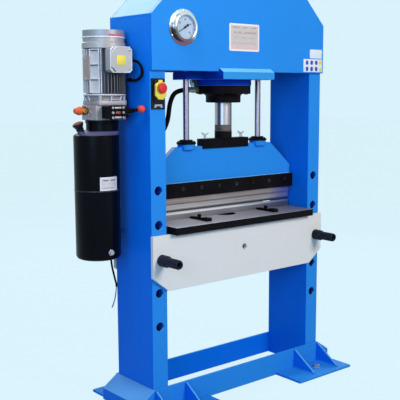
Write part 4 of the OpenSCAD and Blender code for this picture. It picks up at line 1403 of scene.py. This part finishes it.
@dataclass
class MotorCable(Group):
    """The motor's ribbed black conduit, looping from its terminal box into the post."""

    radius: float = 6.0
    rib: float = 0.45
    pitch: float = 4.0
    route: tuple = ((-578, -59, 1567), (-571, -59, 1567), (-563, -64, 1566), (-553, -77, 1560),
                    (-549, -92, 1547), (-548, -102, 1529), (-548, -102, 1508),
                    (-551, -90, 1491), (-559, -68, 1482), (-568, -46, 1481),
                    (-569, -32, 1483), (-562, -21, 1485), (-550, -18, 1486), (-543, -18, 1486))
    nuts: tuple = ((-586, -59, 1567, 1), (-541, -18, 1486, -1), (-541, 110, 800, -1))
    lips: tuple = ((-577, -59, 1567, 1), (-544, -18, 1486, -1))
    coats = (Coat(("cable_glands",), Slot.RUBBER, "black_plastic", 0.6),)

    def details(self) -> None:
        """Conduit whose radius ripples with its ribs, gland nuts and seal rings."""
        path = resample(smooth_line(self.route, 8), 1.0)
        s = np.arange(len(path))
        r = self.radius - self.rib * (0.5 + 0.5 * np.cos(2 * np.pi * s / self.pitch))
        conduit = self.add("motor_cable_conduit", Slot.RUBBER, "black_rubber",
                           [sweep(path, r, 16)], stands_for=("motor_cable",), sharp=60.0)
        (path[0] * MM).tolist()
        (path[::4] * MM).tolist() + [(path[-1] * MM).tolist()]
        self.add("gland_nuts", Slot.STEEL, "screw_steel", [
            hexagon(at, (way, 0, 0), 21.0, 5.0) for *at, way in self.nuts])
        self.add("gland_lips", Slot.RUBBER, "black_rubber", [
            revolve([(7, -2.5), (8.6, -2), (8.6, 1), (7.2, 3), (6.2, 3.4)], at, (way, 0, 0), 24)
            for *at, way in self.lips])


@dataclass
class Hose(Group):
    """The pressure hose from the manifold through the left post to the cylinder's port."""

    radius: float = 11.0
    route: tuple = ((-562, 18, 1344), (-515, 19, 1341), (-495, 22, 1294), (-494, 32, 1250),
                    (-483, 38, 1200), (-453, 38, 1190), (-409, 38, 1198), (-342, 38, 1246),
                    (-309, 38, 1300), (-292, 38, 1380), (-264, 40, 1424), (-214, 41, 1440),
                    (-155, 41, 1442))
    ferrules: tuple = (26.0, 34.0)

    def ferrule(self, end: np.ndarray, inner: np.ndarray, length: float) -> Skin:
        """Crimped sleeve at an end of the hose: a turned sleeve with five pressed grooves.

        Args:
            end: The path's end.
            inner: The path's next point.
            length: The sleeve's length.

        Returns:
            The points and the faces.
        """
        marks = [(11.2, 0), (13.2, 1.2)]
        for i in range(5):
            at = 4 + i * (length - 8) / 5
            marks += [(13.4, at), (13.4, at + 3.4), (12.4, at + 4.0), (12.4, at + 4.8)]
        marks += [(13.2, length - 1.5), (11.0, length)]
        way = unit(inner - end)
        return revolve(marks, end - 2 * way, way, 28)

    def details(self) -> None:
        """Rubber tube with its ferrules and nuts, and the block and elbow at the port."""
        path = resample(smooth_line(self.route, 12), 4.0)
        hose = self.add("pressure_hose_tube", Slot.RUBBER, "black_rubber",
                        [sweep(path, self.radius, 20)], stands_for=("pressure_hose",), sharp=60.0)
        (path[0] * MM).tolist()
        self.add("hose_ferrules", Slot.STEEL, "screw_steel", [
            self.ferrule(path[end], path[inner], length)
            for end, inner, length in zip((0, -1), (1, -2), self.ferrules)])
        self.add("hose_nuts", Slot.BRASS, "nut_brass", [
            hexagon((-157, 41, 1442), RIGHT, 30, 18),
            revolve([(8, 0), (10, 0.5), (10, 7), (8.5, 8)], (-140, 41, 1442), RIGHT, 24),
            hexagon((-133, 41, 1442), RIGHT, 24, 13)])
        self.add("port_block", Slot.STEEL, "port_grey", [
            block((-158, -128, 31, 51), 3, 1456, 1488.6, 1.0, Axis.Z)])
        self.add("port_elbow", Slot.STEEL, "port_white", [
            sweep(smooth_line([(-170, 36, 1487), (-171, 35, 1474), (-166, 34, 1463),
                               (-156, 34, 1459)], 6), 6.4, 18),
            revolve([(3, 0), (5.6, 0.5), (5.6, 5), (4.6, 5.6), (3, 5.8)], (-164, 33, 1470),
                    FRONT, 20)])


@dataclass
class Frame(Group):
    """Posts, crown and mount plate, with the weld beads that join them."""

    hw: float = 535.0
    in_x: float = 453.0
    hd: float = 140.0
    crown_z: float = 1524.0
    lip: tuple = (158.0, 158.6, 1541.0)
    coats = (Coat(("left_post", "right_post", "crown_plates", "crown_covers"), Slot.BLUE,
                  "blue_enamel", 2.0, 3),
             # Its front faces that lie further back than -0.17 m get a darker painted shade.
             Coat(("cylinder_mount_plate",), Slot.BLUE, "shaded_blue_enamel", 2.0, 3, -0.17),
             Coat(("guide_bushes",), Slot.BRASS, "brass_nut", 0.5))

    def details(self) -> None:
        """Painted beads: under the crown plate on each post, and above the mount plate's lips."""
        y, z = -self.hd - 1, self.crown_z - 1
        beads = [bead((min(ends), y, z), (max(ends), y, z), 3.6)
                 for ends in ((s * (self.in_x + 6), s * (self.hw - 6)) for s in SIDES)]
        x, y, z = self.lip
        beads += [bead((-x, way * y, z), (x, way * y, z), 2.6) for way in SIDES]
        self.add("frame_welds", Slot.BLUE, "blue_enamel", beads, sharp=60.0)


@dataclass
class Base(Group):
    """Rails, gusseted foot plates and anchor bolts."""

    gusset_x: tuple = (353.0, 363.0, 525.0, 535.0)
    gusset_y: tuple = ((-156.0, -300.0), (156.0, 240.0))
    rail_x: tuple = (368, 520)
    rail_y: float = 153.0
    foot_z: float = 12.0
    anchor: tuple = (444.0, 232.0)
    # The rails' front faces that lie further back than 0.05 m get the painted shade.
    coats = (Coat(("base_rails",), Slot.BLUE, "blue_enamel", 2.2, 3, 0.05),
             Coat(("foot_plates",), Slot.BLUE, "blue_enamel", 2.2, 3),
             Coat(("anchor_bolts",), Slot.STEEL, "screw_steel", 0.8))

    def welds(self) -> None:
        """Painted fillets along the gussets' feet and under the rails."""
        beads, z = [], self.foot_z + 1
        for side in SIDES:
            for x in self.gusset_x:
                beads += [bead((side * x, start, z), (side * x, end, z), 3.4)
                          for start, end in self.gusset_y]
            beads += [bead(*((side * x, way * self.rail_y, z) for x in self.rail_x), 3.2)
                      for way in SIDES]
        self.add("base_welds", Slot.BLUE, "blue_enamel", beads, sharp=60.0)

    def details(self) -> None:
        """A dished washer under each anchor's head, and the welds."""
        x, y = self.anchor
        self.add("anchor_washers", Slot.STEEL, "bright_steel", [
            revolve([(9, 0), (16.5, 0.2), (17, 0.8), (17, 2.4), (16.2, 3), (9.5, 3.2)],
                    (sx * x, sy * y, self.foot_z), UP, 32) for sx in SIDES for sy in SIDES])
        self.welds()


@dataclass
class Table(Group):
    """Table plates, die plate, V block, support pins and back stops."""

    coats = (Coat(("table_side_plates", "table_spacers"), Slot.GREY, "grey_enamel", 1.8, 3),
             Coat(("die_plate",), Slot.DIE, "die_plate_steel", 1.2, 3),
             Coat(("v_die",), Slot.STEEL, "vee_steel", 0.6),
             Coat(("left_table_pin", "right_table_pin"), Slot.OXIDE, "pin_black", 0.9),
             Coat(("left_gauge_stop", "right_gauge_stop"), Slot.OXIDE, "black_oxide", 0.9))


@dataclass
class RamGroup(Group):
    """Ram, beam, guide rods, punch holder and punch."""

    rod_x: float = 228.5
    collar_z: float = 1199.0
    screw_ring: float = 38.5
    lip: tuple = (447, -16, 1013.2)
    coats = (Coat(("press_beam",), Slot.BLUE, "blue_enamel", 2.4, 3),
             Coat(("ram_rod",), Slot.CHROME, "ram_chrome", 0.6),
             Coat(("guide_rods",), Slot.CHROME, "guide_chrome", 0.6),
             Coat(("guide_rod_collars", "punch_holder", "punch_clamp_bar", "ram_flange"),
                  Slot.OXIDE, "black_oxide", 1.0),
             Coat(("ram_head",), Slot.OXIDE, "greased_head", 1.0),
             Coat(("clamp_bolts",), Slot.OXIDE, "worn_oxide", 0.5),
             Coat(("punch",), Slot.STEEL, "punch_steel", 0.6),
             Coat(("left_wing_screw", "right_wing_screw"), Slot.CHROME, "screw_steel", 0.7))

    def details(self) -> None:
        """Cap screws on the guide rods' collars, and a painted highlight on the beam's lower front
        corner.
        """
        eight = 22.5 + 45 * np.arange(8)
        self.add("collar_screws", Slot.OXIDE, "black_oxide", [
            revolve([(2.2, 0), (4.2, 0), (4.4, 0.6), (4.4, 4.4), (3.8, 5.0), (2.3, 5.0),
                     (2.2, 3.0)], at, UP, 20) for side in SIDES
            for at in around((side * self.rod_x, 0, self.collar_z), self.screw_ring, eight)],
            "press_ram")
        x, y, z = self.lip
        self.add("beam_lip", Slot.BLUE, "rubbed_blue_enamel",
                 [bead((-x, y, z), (x, y, z), 1.7, 40.0)], "press_ram")


@dataclass
class Cylinder(Group):
    """Barrel, flanged head and its ring of bolts."""

    coats = (Coat(("cylinder_barrel",), Slot.STEEL, "bright_steel", 1.0),
             Coat(("cylinder_head",), Slot.BLACK, "black_oxide", 1.2),
             Coat(("flange_bolts",), Slot.STEEL, "worn_oxide", 0.8))


@dataclass
class Tank(Group):
    """The oil tank with its seam, plain label, filler and drain plug."""

    x: float = -679.0
    y: float = 62.0
    r: float = 99.0
    seam_z: float = 1008.0
    label_z: tuple = (1012.0, 1070.0)
    label_turn: tuple = (-115, -65)
    fill: tuple = (-751.0, 62.0, 1254.0)
    fill_tilt: float = -24.0
    fill_top: float = 50.4
    coats = (Coat(("tank_shell",), Slot.BLACK, "tank_enamel", 1.4, 3),
             Coat(("drain_plug",), Slot.CHROME, "screw_steel", 0.6),
             Coat(("filler_cap",), Slot.PLASTIC, "black_plastic", 0.6))

    def details(self) -> None:
        """Bent label, the weld seam's low round rib, and a red disc in the breather's top."""
        x, y, r = self.x, self.y, self.r
        self.add("tank_label", Slot.PLATE, "tank_label_print", [
            bent((x, y), (r - 0.6, r + 1.0), np.linspace(*self.label_turn, 25),
                 np.linspace(*self.label_z, 9))])
        half = [(r - 1.0, 3.2), (r + 0.3, 2.6), (r + 1.1, 1.2), (r + 1.3, 0)]
        self.add("tank_seam", Slot.BLACK, "seam_enamel", [
            revolve([(a, -b) for a, b in half] + half[2::-1], (x, y, self.seam_z), UP, 96)],
            sharp=60.0)
        t = math.radians(self.fill_tilt)
        way = np.array([math.sin(t), 0.0, math.cos(t)])
        self.add("filler_disc", Slot.RED, "cap_red", [
            revolve([(4, -1.0), (18.4, -1.0), (19.0, -0.2), (18.4, 0.5), (14, 0.9), (8, 1.0),
                     (0.1, 1.0)], self.fill + self.fill_top * way, way, 40)], "filler_cap_body")


@dataclass
class Valve(Group):
    """Manifold, relief valve and the lever valve on its front."""

    x0: float = -696.0
    x1: float = -626.0
    front: float = -86.0
    z0: float = 1317.0
    z1: float = 1375.0
    pivot: tuple = (-604.0, -60.0, 1350.0)
    knob: tuple = (-565.0, -120.0, 1360.0)
    knob_r: float = 16.8
    screw_in: float = 9.0
    screw_gap: float = 21.0
    copper_z: tuple = (1341, 1351)
    bell: tuple = (-639.0, 50.0, 1396.0)
    coats = (Coat(("manifold_block",), Slot.ALLOY, "dull_alloy", 2.4, 3),
             Coat(("relief_valve",), Slot.BRASS, "brass_nut", 0.8),
             Coat(("relief_knob",), Slot.ORANGE, "orange_plastic", 0.8),
             Coat(("valve_body",), Slot.BLACK, "black_oxide", 1.4),
             Coat(("pack_bracket",), Slot.BLACK, "black_oxide", 1.2),
             Coat(("gear_pump",), Slot.STEEL, "bright_steel", 0.0))

    def motor_bell(self) -> None:
        """Under the motor: a flange with a turned ring, and ten leaning webs round it, pale: a
        painted highlight.
        """
        x, y, z = self.bell
        self.add("bell_flange", Slot.ALLOY, "dull_alloy", [
            block((-711, -567, -22, 122), 14, 1376.4, z, 2.0, Axis.Z),
            revolve([(60, 0), (76, 0.4), (78, 3), (74, 14), (70, 22), (60, 24)],
                    (x, y, z - 1), UP, 48)])
        self.add("bell_webs", Slot.ALLOY, "lid_edge", [
            sweep(np.array(self.bell) + np.outer((79, 80, 84, 86), way)
                  + np.outer((0, 6, 12, 18), UP), np.array([4.6, 4.2, 3.6, 3.0]), 12)
            for way in around((0, 0, 0), 1.0, -175 + 36 * np.arange(10))])

    def screws(self) -> None:
        """Six socket screws, in two columns of three."""
        zc = (self.z0 + self.z1) / 2
        spots = [(x, zc + self.screw_gap * k)
                 for x in (self.x0 + self.screw_in, self.x1 - self.screw_in) for k in (-1, 0, 1)]
        self.add("valve_screws", Slot.CHROME, "screw_steel", [
            revolve([(2.2, 0), (5.0, 0), (5.3, 0.8), (5.3, 5.2), (4.6, 6.2), (2.6, 6.2),
                     (2.3, 3.0)], (x, self.front + 2.0, z), FRONT, 28) for x, z in spots])
        self.add("valve_sockets", Slot.OXIDE, "black_oxide", [
            hexagon((x, self.front + 1.0, z), FRONT, 4.4, 1.6) for x, z in spots])

    def bands(self) -> None:
        """Pale seal plates at the top and bottom of the valve's face, and a copper one."""
        x0, x1, y = self.x0 + 20, self.x1 - 20, self.front
        self.add("valve_strips", Slot.PLATE, "lid_alloy", [
            block((x0 - 1, x1 + 1, low, high), 2.2, y - 2.2, y + 0.6, 0.6)
            for low, high in ((self.z1 - 12, self.z1 - 5), (self.z0 + 5, self.z0 + 13))])
        self.add("valve_copper", Slot.RED, "copper_strip", [
            block((x0 + 3, x1 - 3, *self.copper_z), 2.0, y - 1.6, y + 0.6, 0.5)])

    def lever(self) -> None:
        """The lever: a turned hub, a tapering arm in a ribbed boot, and a round red knob.

        The boot's radius falls evenly from the hub, with four folds of a cosine wave on it.
        """
        p, k = np.array(self.pivot), np.array(self.knob)
        hub = p + (7, 0, 0)
        way, span = unit(k - hub), float(np.linalg.norm(k - hub))
        t = np.linspace(0.0, 1.0, 34)
        fold = 15.5 - 8.0 * t + 1.3 * np.cos(t * 2 * np.pi * 4)
        boot = [(3.0, -9.0), *zip(fold, -8.0 + 0.62 * span * t), (4.0, 0.62 * span - 7.0)]
        self.add("lever_arm", Slot.OXIDE, "black_oxide", [
            revolve([(0.5, -14), (5, -14), (5, 0.4), (11, 0.4), (11.6, 1), (11.6, 11.5),
                     (10.6, 12.6), (0.5, 12.8)], p, RIGHT, 32),
            sweep(hub + np.outer((0.1, 0.3, 0.55, 0.8, 0.95), span * way),
                  np.array([5.6, 5.2, 4.4, 4.8, 5.2]), 20),
            revolve(boot, hub, way, 40),
            revolve([(4, 0), (7.2, 0.4), (7.2, 6), (5.4, 9)], hub + 8 * way, way, 24),
            revolve([(4, 0), (8, 0.5), (8.4, 3), (7.4, 6), (4, 6.5)], hub + (span - 25) * way,
                    way, 24)], "valve_lever_arm", ("valve_lever",))
        a = np.linspace(0.02, np.pi - 0.02, 22)
        ball = self.knob_r * np.stack([np.sin(a), -np.cos(a)], 1)
        self.add("lever_knob", Slot.RED, "knob_red", [revolve(ball, k, way, 36)],
                 "valve_lever_arm", sharp=60.0)

    def details(self) -> None:
        """The bell, the screws, the seal plates and the lever."""
        self.motor_bell()
        self.screws()
        self.bands()
        self.lever()


@dataclass
class Motor(Group):
    """The finned motor, its cowl, its bare riveted plate and the terminal box."""

    x: float = -639.0
    y: float = 50.0
    r: float = 92.0
    low: float = 1424.0
    high: float = 1617.0
    cowl_z: float = 1662.0
    box_z: float = 1567.0
    box_half: float = 55.0
    lid_y: float = -84.0
    slot_half: float = 4.2
    rib_half: float = 9.0
    slant: float = 0.707
    plate_z: tuple = (1482, 1580)
    plate_turn: tuple = (163, 197)
    mark_z: tuple = (1664.5, 1674.5)
    tie_ring: float = 84.0
    coats = (Coat(("motor_housing",), Slot.ALLOY, "finned_alloy", 0.0),
             Coat(("fan_cowl",), Slot.ALLOY, "cowl_alloy", 0.0),
             Coat(("motor_end_shields", "terminal_box"), Slot.ALLOY, "cast_alloy", 0.8),
             Coat(("terminal_lid",), Slot.ALLOY, "lid_alloy", 1.6, 3),
             Coat(("motor_rotor",), Slot.STEEL, "bright_steel", 0.0))

    def housing(self) -> None:
        """Adds rims, tie screws and a mark.

        The rims are rolled, round the cowl's foot and the lower shield, and pale as a painted
        highlight.
        The mark is two plain red strokes round the cowl, where a motor shows which way it turns.
        """
        x, y, r = self.x, self.y, self.r
        ring = [(r - 3, -3), (r + 0.6, -2.4), (r + 1.6, -0.8), (r + 1.6, 0.8), (r + 0.6, 2.4),
                (r - 3, 3)]
        self.add("motor_rims", Slot.ALLOY, "lid_edge", [
            revolve(ring, (x, y, self.cowl_z + 1), UP, 72),
            revolve([(a - 1, b * 0.8) for a, b in ring], (x, y, self.low - 3), UP, 72)],
            sharp=60.0)
        self.add("turn_mark", Slot.RED, "mark_red", [
            bent((x, y), (r - 0.8, r + 0.5), np.linspace(start, start + 17, 9),
                 np.array(self.mark_z)) for start in (-108.0, -86.0)])
        self.add("motor_tie_screws", Slot.STEEL, "screw_steel", [
            revolve([(2, 0), (5, 0), (5, 4.4), (4.4, 5), (2.2, 5)], at, UP, 20)
            for at in around((x, y, self.high + 24), self.tie_ring, (45, 135, 225, 315))])

    def bare_plate(self) -> None:
        """The rating plate's place: a plain bent plate on the fins, held by two rivets."""
        x, y, r, (low, high) = self.x, self.y, self.r, self.plate_z
        self.add("motor_plate", Slot.PLATE, "motor_plate_tin", [
            bent((x, y), (r - 1.0, r + 1.2), np.linspace(*self.plate_turn, 15),
                 np.linspace(*self.plate_z, 11))])
        self.add("motor_plate_rivets", Slot.STEEL, "screw_steel", [
            revolve([(3.6, 0), (3.4, 1.2), (2.4, 2.6), (0.5, 3.2)], (x - r - 0.8, y, z),
                    (-1, 0, 0), 16) for z in (low + 7, high - 7)])

    def lid_frame(self) -> None:
        """The lid's raised rim with cut corners, and the ribs across its corners, pale as painted
        highlights.
        """
        x, z, y, h = self.x, self.box_z, self.lid_y, self.box_half
        reach, d = h - 9.5, self.rib_half * self.slant
        ribs = [rod((x + sx * reach, y - 0.2, z + sz * reach), (d, 0.0, -d * sx * sz), 2.0, 10)
                for sx, sz in ((-1, 1), (1, 1), (-1, -1), (1, -1))]
        ribs.append(rod((-675, y - 0.4, 1607.5), (10, 0, 8.5), 2.4, 10))
        self.add("lid_corner_ribs", Slot.ALLOY, "lid_edge", ribs)
        self.add("lid_catch", Slot.OXIDE, "black_oxide", [
            rod((-679, y - 0.6, 1526.5), (11, 0, -9.5), np.array([1.6, 2.4, 1.6]), 10)])
        e, c = h - 2.2, h - 13.2
        loop = [(-e, -c), (-e, c), (-c, e), (c, e), (e, c), (e, -c), (c, -e), (-c, -e), (-e, -c)]
        self.add("lid_rim", Slot.ALLOY, "lid_edge", [
            sweep([(x + a[0], y - 0.3, z + a[1]), (x + b[0], y - 0.3, z + b[1])], 1.5, 10)
            for a, b in zip(loop, loop[1:])])

    def lid_face(self) -> None:
        """Slotted corner screws, and a plain yellow field."""
        x, z, y = self.x, self.box_z, self.lid_y
        reach, d = self.box_half - 14, self.slot_half * self.slant
        corners = [(sx, sz) for sx in SIDES for sz in SIDES]
        self.add("lid_screws", Slot.STEEL, "screw_steel", [
            revolve([(0.5, 0), (5.2, 0), (5.6, 0.6), (5.6, 2.8), (4.6, 3.6), (0.5, 4.0)],
                    (x + sx * reach, y + 2.0, z + sz * reach), FRONT, 24) for sx, sz in corners])
        self.add("lid_slots", Slot.OXIDE, "black_oxide", [
            rod((x + sx * reach, y - 2.2, z + sz * reach),
                (d, 0.0, d * sx * sz), 0.9, 6) for sx, sz in corners])
        self.add("lid_field", Slot.YELLOW, "yellow_plastic", [
            block((x - 22, x + 22, z - 22, z + 18), 6, y - 0.9, y + 0.4, 0.3)])

    def details(self) -> None:
        """Rims, screws, the plate and the lid's parts."""
        self.housing()
        self.bare_plate()
        self.lid_frame()
        self.lid_face()


@dataclass
class Gauge(Group):
    """The pressure gauge: case, dial with its ticks, needle and pane."""

    x: float = -365.0
    z: float = 1709.0
    front: float = -158.0
    dial_y: float = -168.0
    dial_r: float = 50.0
    start: float = 212.0
    span: float = 252.0
    tick_count: int = 40
    text: float = 0.011
    screw_ring: float = 72.0
    coats = (Coat(("gauge_case",), Slot.CHROME, "bezel_chrome", 0.7, 3),
             Coat(("gauge_dial",), Slot.DIAL, "dial_white", 0.0),
             Coat(("gauge_needle",), Slot.PLASTIC, "dial_ink", 0.0),
             Coat(("gauge_glass",), Slot.GLASS, "pane", 0.0))

    def ticks(self) -> None:
        """Ticks round the dial over its span, long ones every fifth."""
        bars, centre = [], np.array([self.x, self.dial_y - 0.1, self.z])
        turns = self.start - np.arange(self.tick_count + 1) * self.span / self.tick_count
        for k, way in enumerate(around((0, 0, 0), 1.0, turns, Axis.Y)):
            depth, radius = (5.5, 0.55) if k % 5 else (9.0, 1.0)
            bars.append(sweep(centre + np.outer((self.dial_r - depth, self.dial_r - 1.5), way),
                              radius, 4, 0.5))
        self.add("dial_ticks", Slot.PLASTIC, "dial_ink", bars)

    def number(self, k: int) -> None:
        """A plain number inside the dial's long tick k.

        Args:
            k: The long tick.
        """
        name = f"dial_number_{k}"
        data = bpy.data.curves.new(name, "FONT")
        data.body, data.size = str(k * 10), self.text
        data.align_x, data.align_y, data.extrude = "CENTER", "CENTER", 0.0002
        text = placed(name, data)
        mesh = bpy.data.meshes.new_from_object(text)
        bpy.data.objects.remove(text)
        bpy.data.curves.remove(data)
        flat = np.zeros(len(mesh.vertices) * 3)
        mesh.vertices.foreach_get("co", flat)
        spot = around((self.x, self.dial_y - 0.2, self.z), self.dial_r - 16.5,
                      [self.start - k * self.span / 8], Axis.Y)[0]
        out = flat.reshape(-1, 3)[:, (0, 2, 1)] * (1, -1, 1) + spot * MM
        mesh.vertices.foreach_set("co", out.ravel())
        mesh.update()
        Piece(name, Slot.PLASTIC, self.fin["dial_ink"]).dress(mesh)

    def details(self) -> None:
        """Ticks, numbers and the three screws that hold the flange on the crown."""
        self.ticks()
        for k in range(0, 9, 2):
            self.number(k)
        self.add("gauge_screws", Slot.STEEL, "screw_steel", [
            revolve([(0.5, 0), (4.6, 0), (4.8, 0.6), (3.8, 2.2), (0.5, 3.0)], at, FRONT, 24)
            for at in around((self.x, self.front - 3, self.z), self.screw_ring, (90, 210, 330),
                             Axis.Y)])


@dataclass
class Labels(Group):
    """The plain nameplate and the plain sticker on the crown's front."""

    front: float = -158.0
    paper: tuple = (-0.7, 0.4)
    ink: tuple = (-1.2, -0.2)
    thin: float = 0.2
    coats = (Coat(("nameplate",), Slot.PLATE, "nameplate_print", 0.3),)

    def details(self) -> None:
        """The sticker's two papers and its plain colour fields, each as (x0, x1, z0, z1)."""
        for name, slot, finish, r, depth, fields in (
                ("crown_sticker", Slot.DIAL, "sticker_white", 4, self.paper,
                 [(391, 526, 1530, 1593)]),
                ("crown_sticker_upper", Slot.DIAL, "sticker_white", 4, self.paper,
                 [(436, 524, 1597, 1641)]),
                ("sticker_blue", Slot.BLUE, "indigo_ink", 6, self.ink,
                 [(x - 9, x + 9, z - 10.5, z + 10.5)
                  for x in (416, 449.5, 483) for z in (1545.0, 1576.0)]),
                ("sticker_yellow", Slot.YELLOW, "yellow_plastic", 4, self.ink,
                 [(501, 523, z - 9, z + 9) for z in (1541.5, 1576.5)])):
            low, high = (self.front + reach for reach in depth)
            self.add(name, slot, finish, [block(at, r, low, high, self.thin) for at in fields])


@dataclass
class Switch(Group):
    """The stop switch: black plate, yellow flap with cut corners, red mushroom."""

    x: float = -494.0
    low: float = 1400.0
    lid_y: float = -162.0
    hinge: tuple = (-160.0, 1480.0)
    button_z: float = 1448.0
    label_z: float = 1365.0
    screw_z: tuple = (1362.0, 1485.0)
    coats = (Coat(("switch_box",), Slot.PLASTIC, "black_plastic", 1.4, 3),
             Coat(("stop_button",), Slot.RED, "red_plastic", 1.0, 3))

    def flap(self) -> None:
        """The flap: an eight-sided plate on its hinge barrel, raised round the button."""
        x, z0, (y, z) = self.x, self.low, self.hinge
        z1 = z - 7
        outline = [(x - 28, z0 + 16), (x - 12, z0), (x + 12, z0), (x + 28, z0 + 16),
                   (x + 28, z1 - 9), (x + 17, z1), (x - 17, z1), (x - 28, z1 - 9)]
        self.add("switch_flap", Slot.YELLOW, "yellow_plastic", [
            prism(outline, self.lid_y - 6, self.lid_y + 4, 1.8),
            block((x - 11, x + 11, z1 - 3, z), 2, y - 3.4, y, 0.6),
            revolve([(1.2, -11), (3.4, -10.6), (3.4, 10.6), (1.2, 11)], (x, y, z), RIGHT, 20),
            revolve([(24.5, 0), (26.0, 0.4), (26.2, 1.4), (25.0, 2.4), (23.4, 2.4), (22.8, 1.0)],
                    (x, self.lid_y - 5.4, self.button_z), FRONT, 40)],
            "switch_lid_body", ("switch_lid",))
        self.add("switch_pin", Slot.STEEL, "screw_steel", [
            revolve([(0.6, -22.5), (1.9, -22), (1.9, 22), (0.6, 22.5)], (x, y, z), RIGHT, 16)],
            "switch_lid_body")

    def details(self) -> None:
        """The flap on its pin, the bare label field below it, and the box's screws."""
        self.flap()
        x, z = self.x, self.label_z
        self.add("switch_label", Slot.PLATE, "lead_grey", [
            prism([(x - 22, z), (x - 13, z), (x - 10, z + 6), (x + 10, z + 6), (x + 13, z),
                   (x + 22, z), (x + 19, z + 14), (x - 19, z + 14)], -147.0, -145.6, 0.3)])
        self.add("switch_screws", Slot.PLASTIC, "black_plastic", [
            revolve([(0.5, 0), (3.6, 0), (3.8, 0.5), (3.0, 1.8), (0.5, 2.4)],
                    (x + sx * 30, -146, high), FRONT, 20)
            for sx in SIDES for high in self.screw_z])


def main() -> None:
    """Builds the studio, then the cords, then every sub-assembly."""
    logging.basicConfig(level=logging.INFO, format="%(name)s: %(message)s")
    Studio().build()
    fin = Finishes()
    for group in (SupplyCord, MotorCable, Hose, Frame, Base, Table, RamGroup, Cylinder, Tank,
                  Valve, Motor, Gauge, Labels, Switch):
        LOG.info("building %s", group.__name__)
        group(fin).build()


if __name__ == "__main__":
    main()
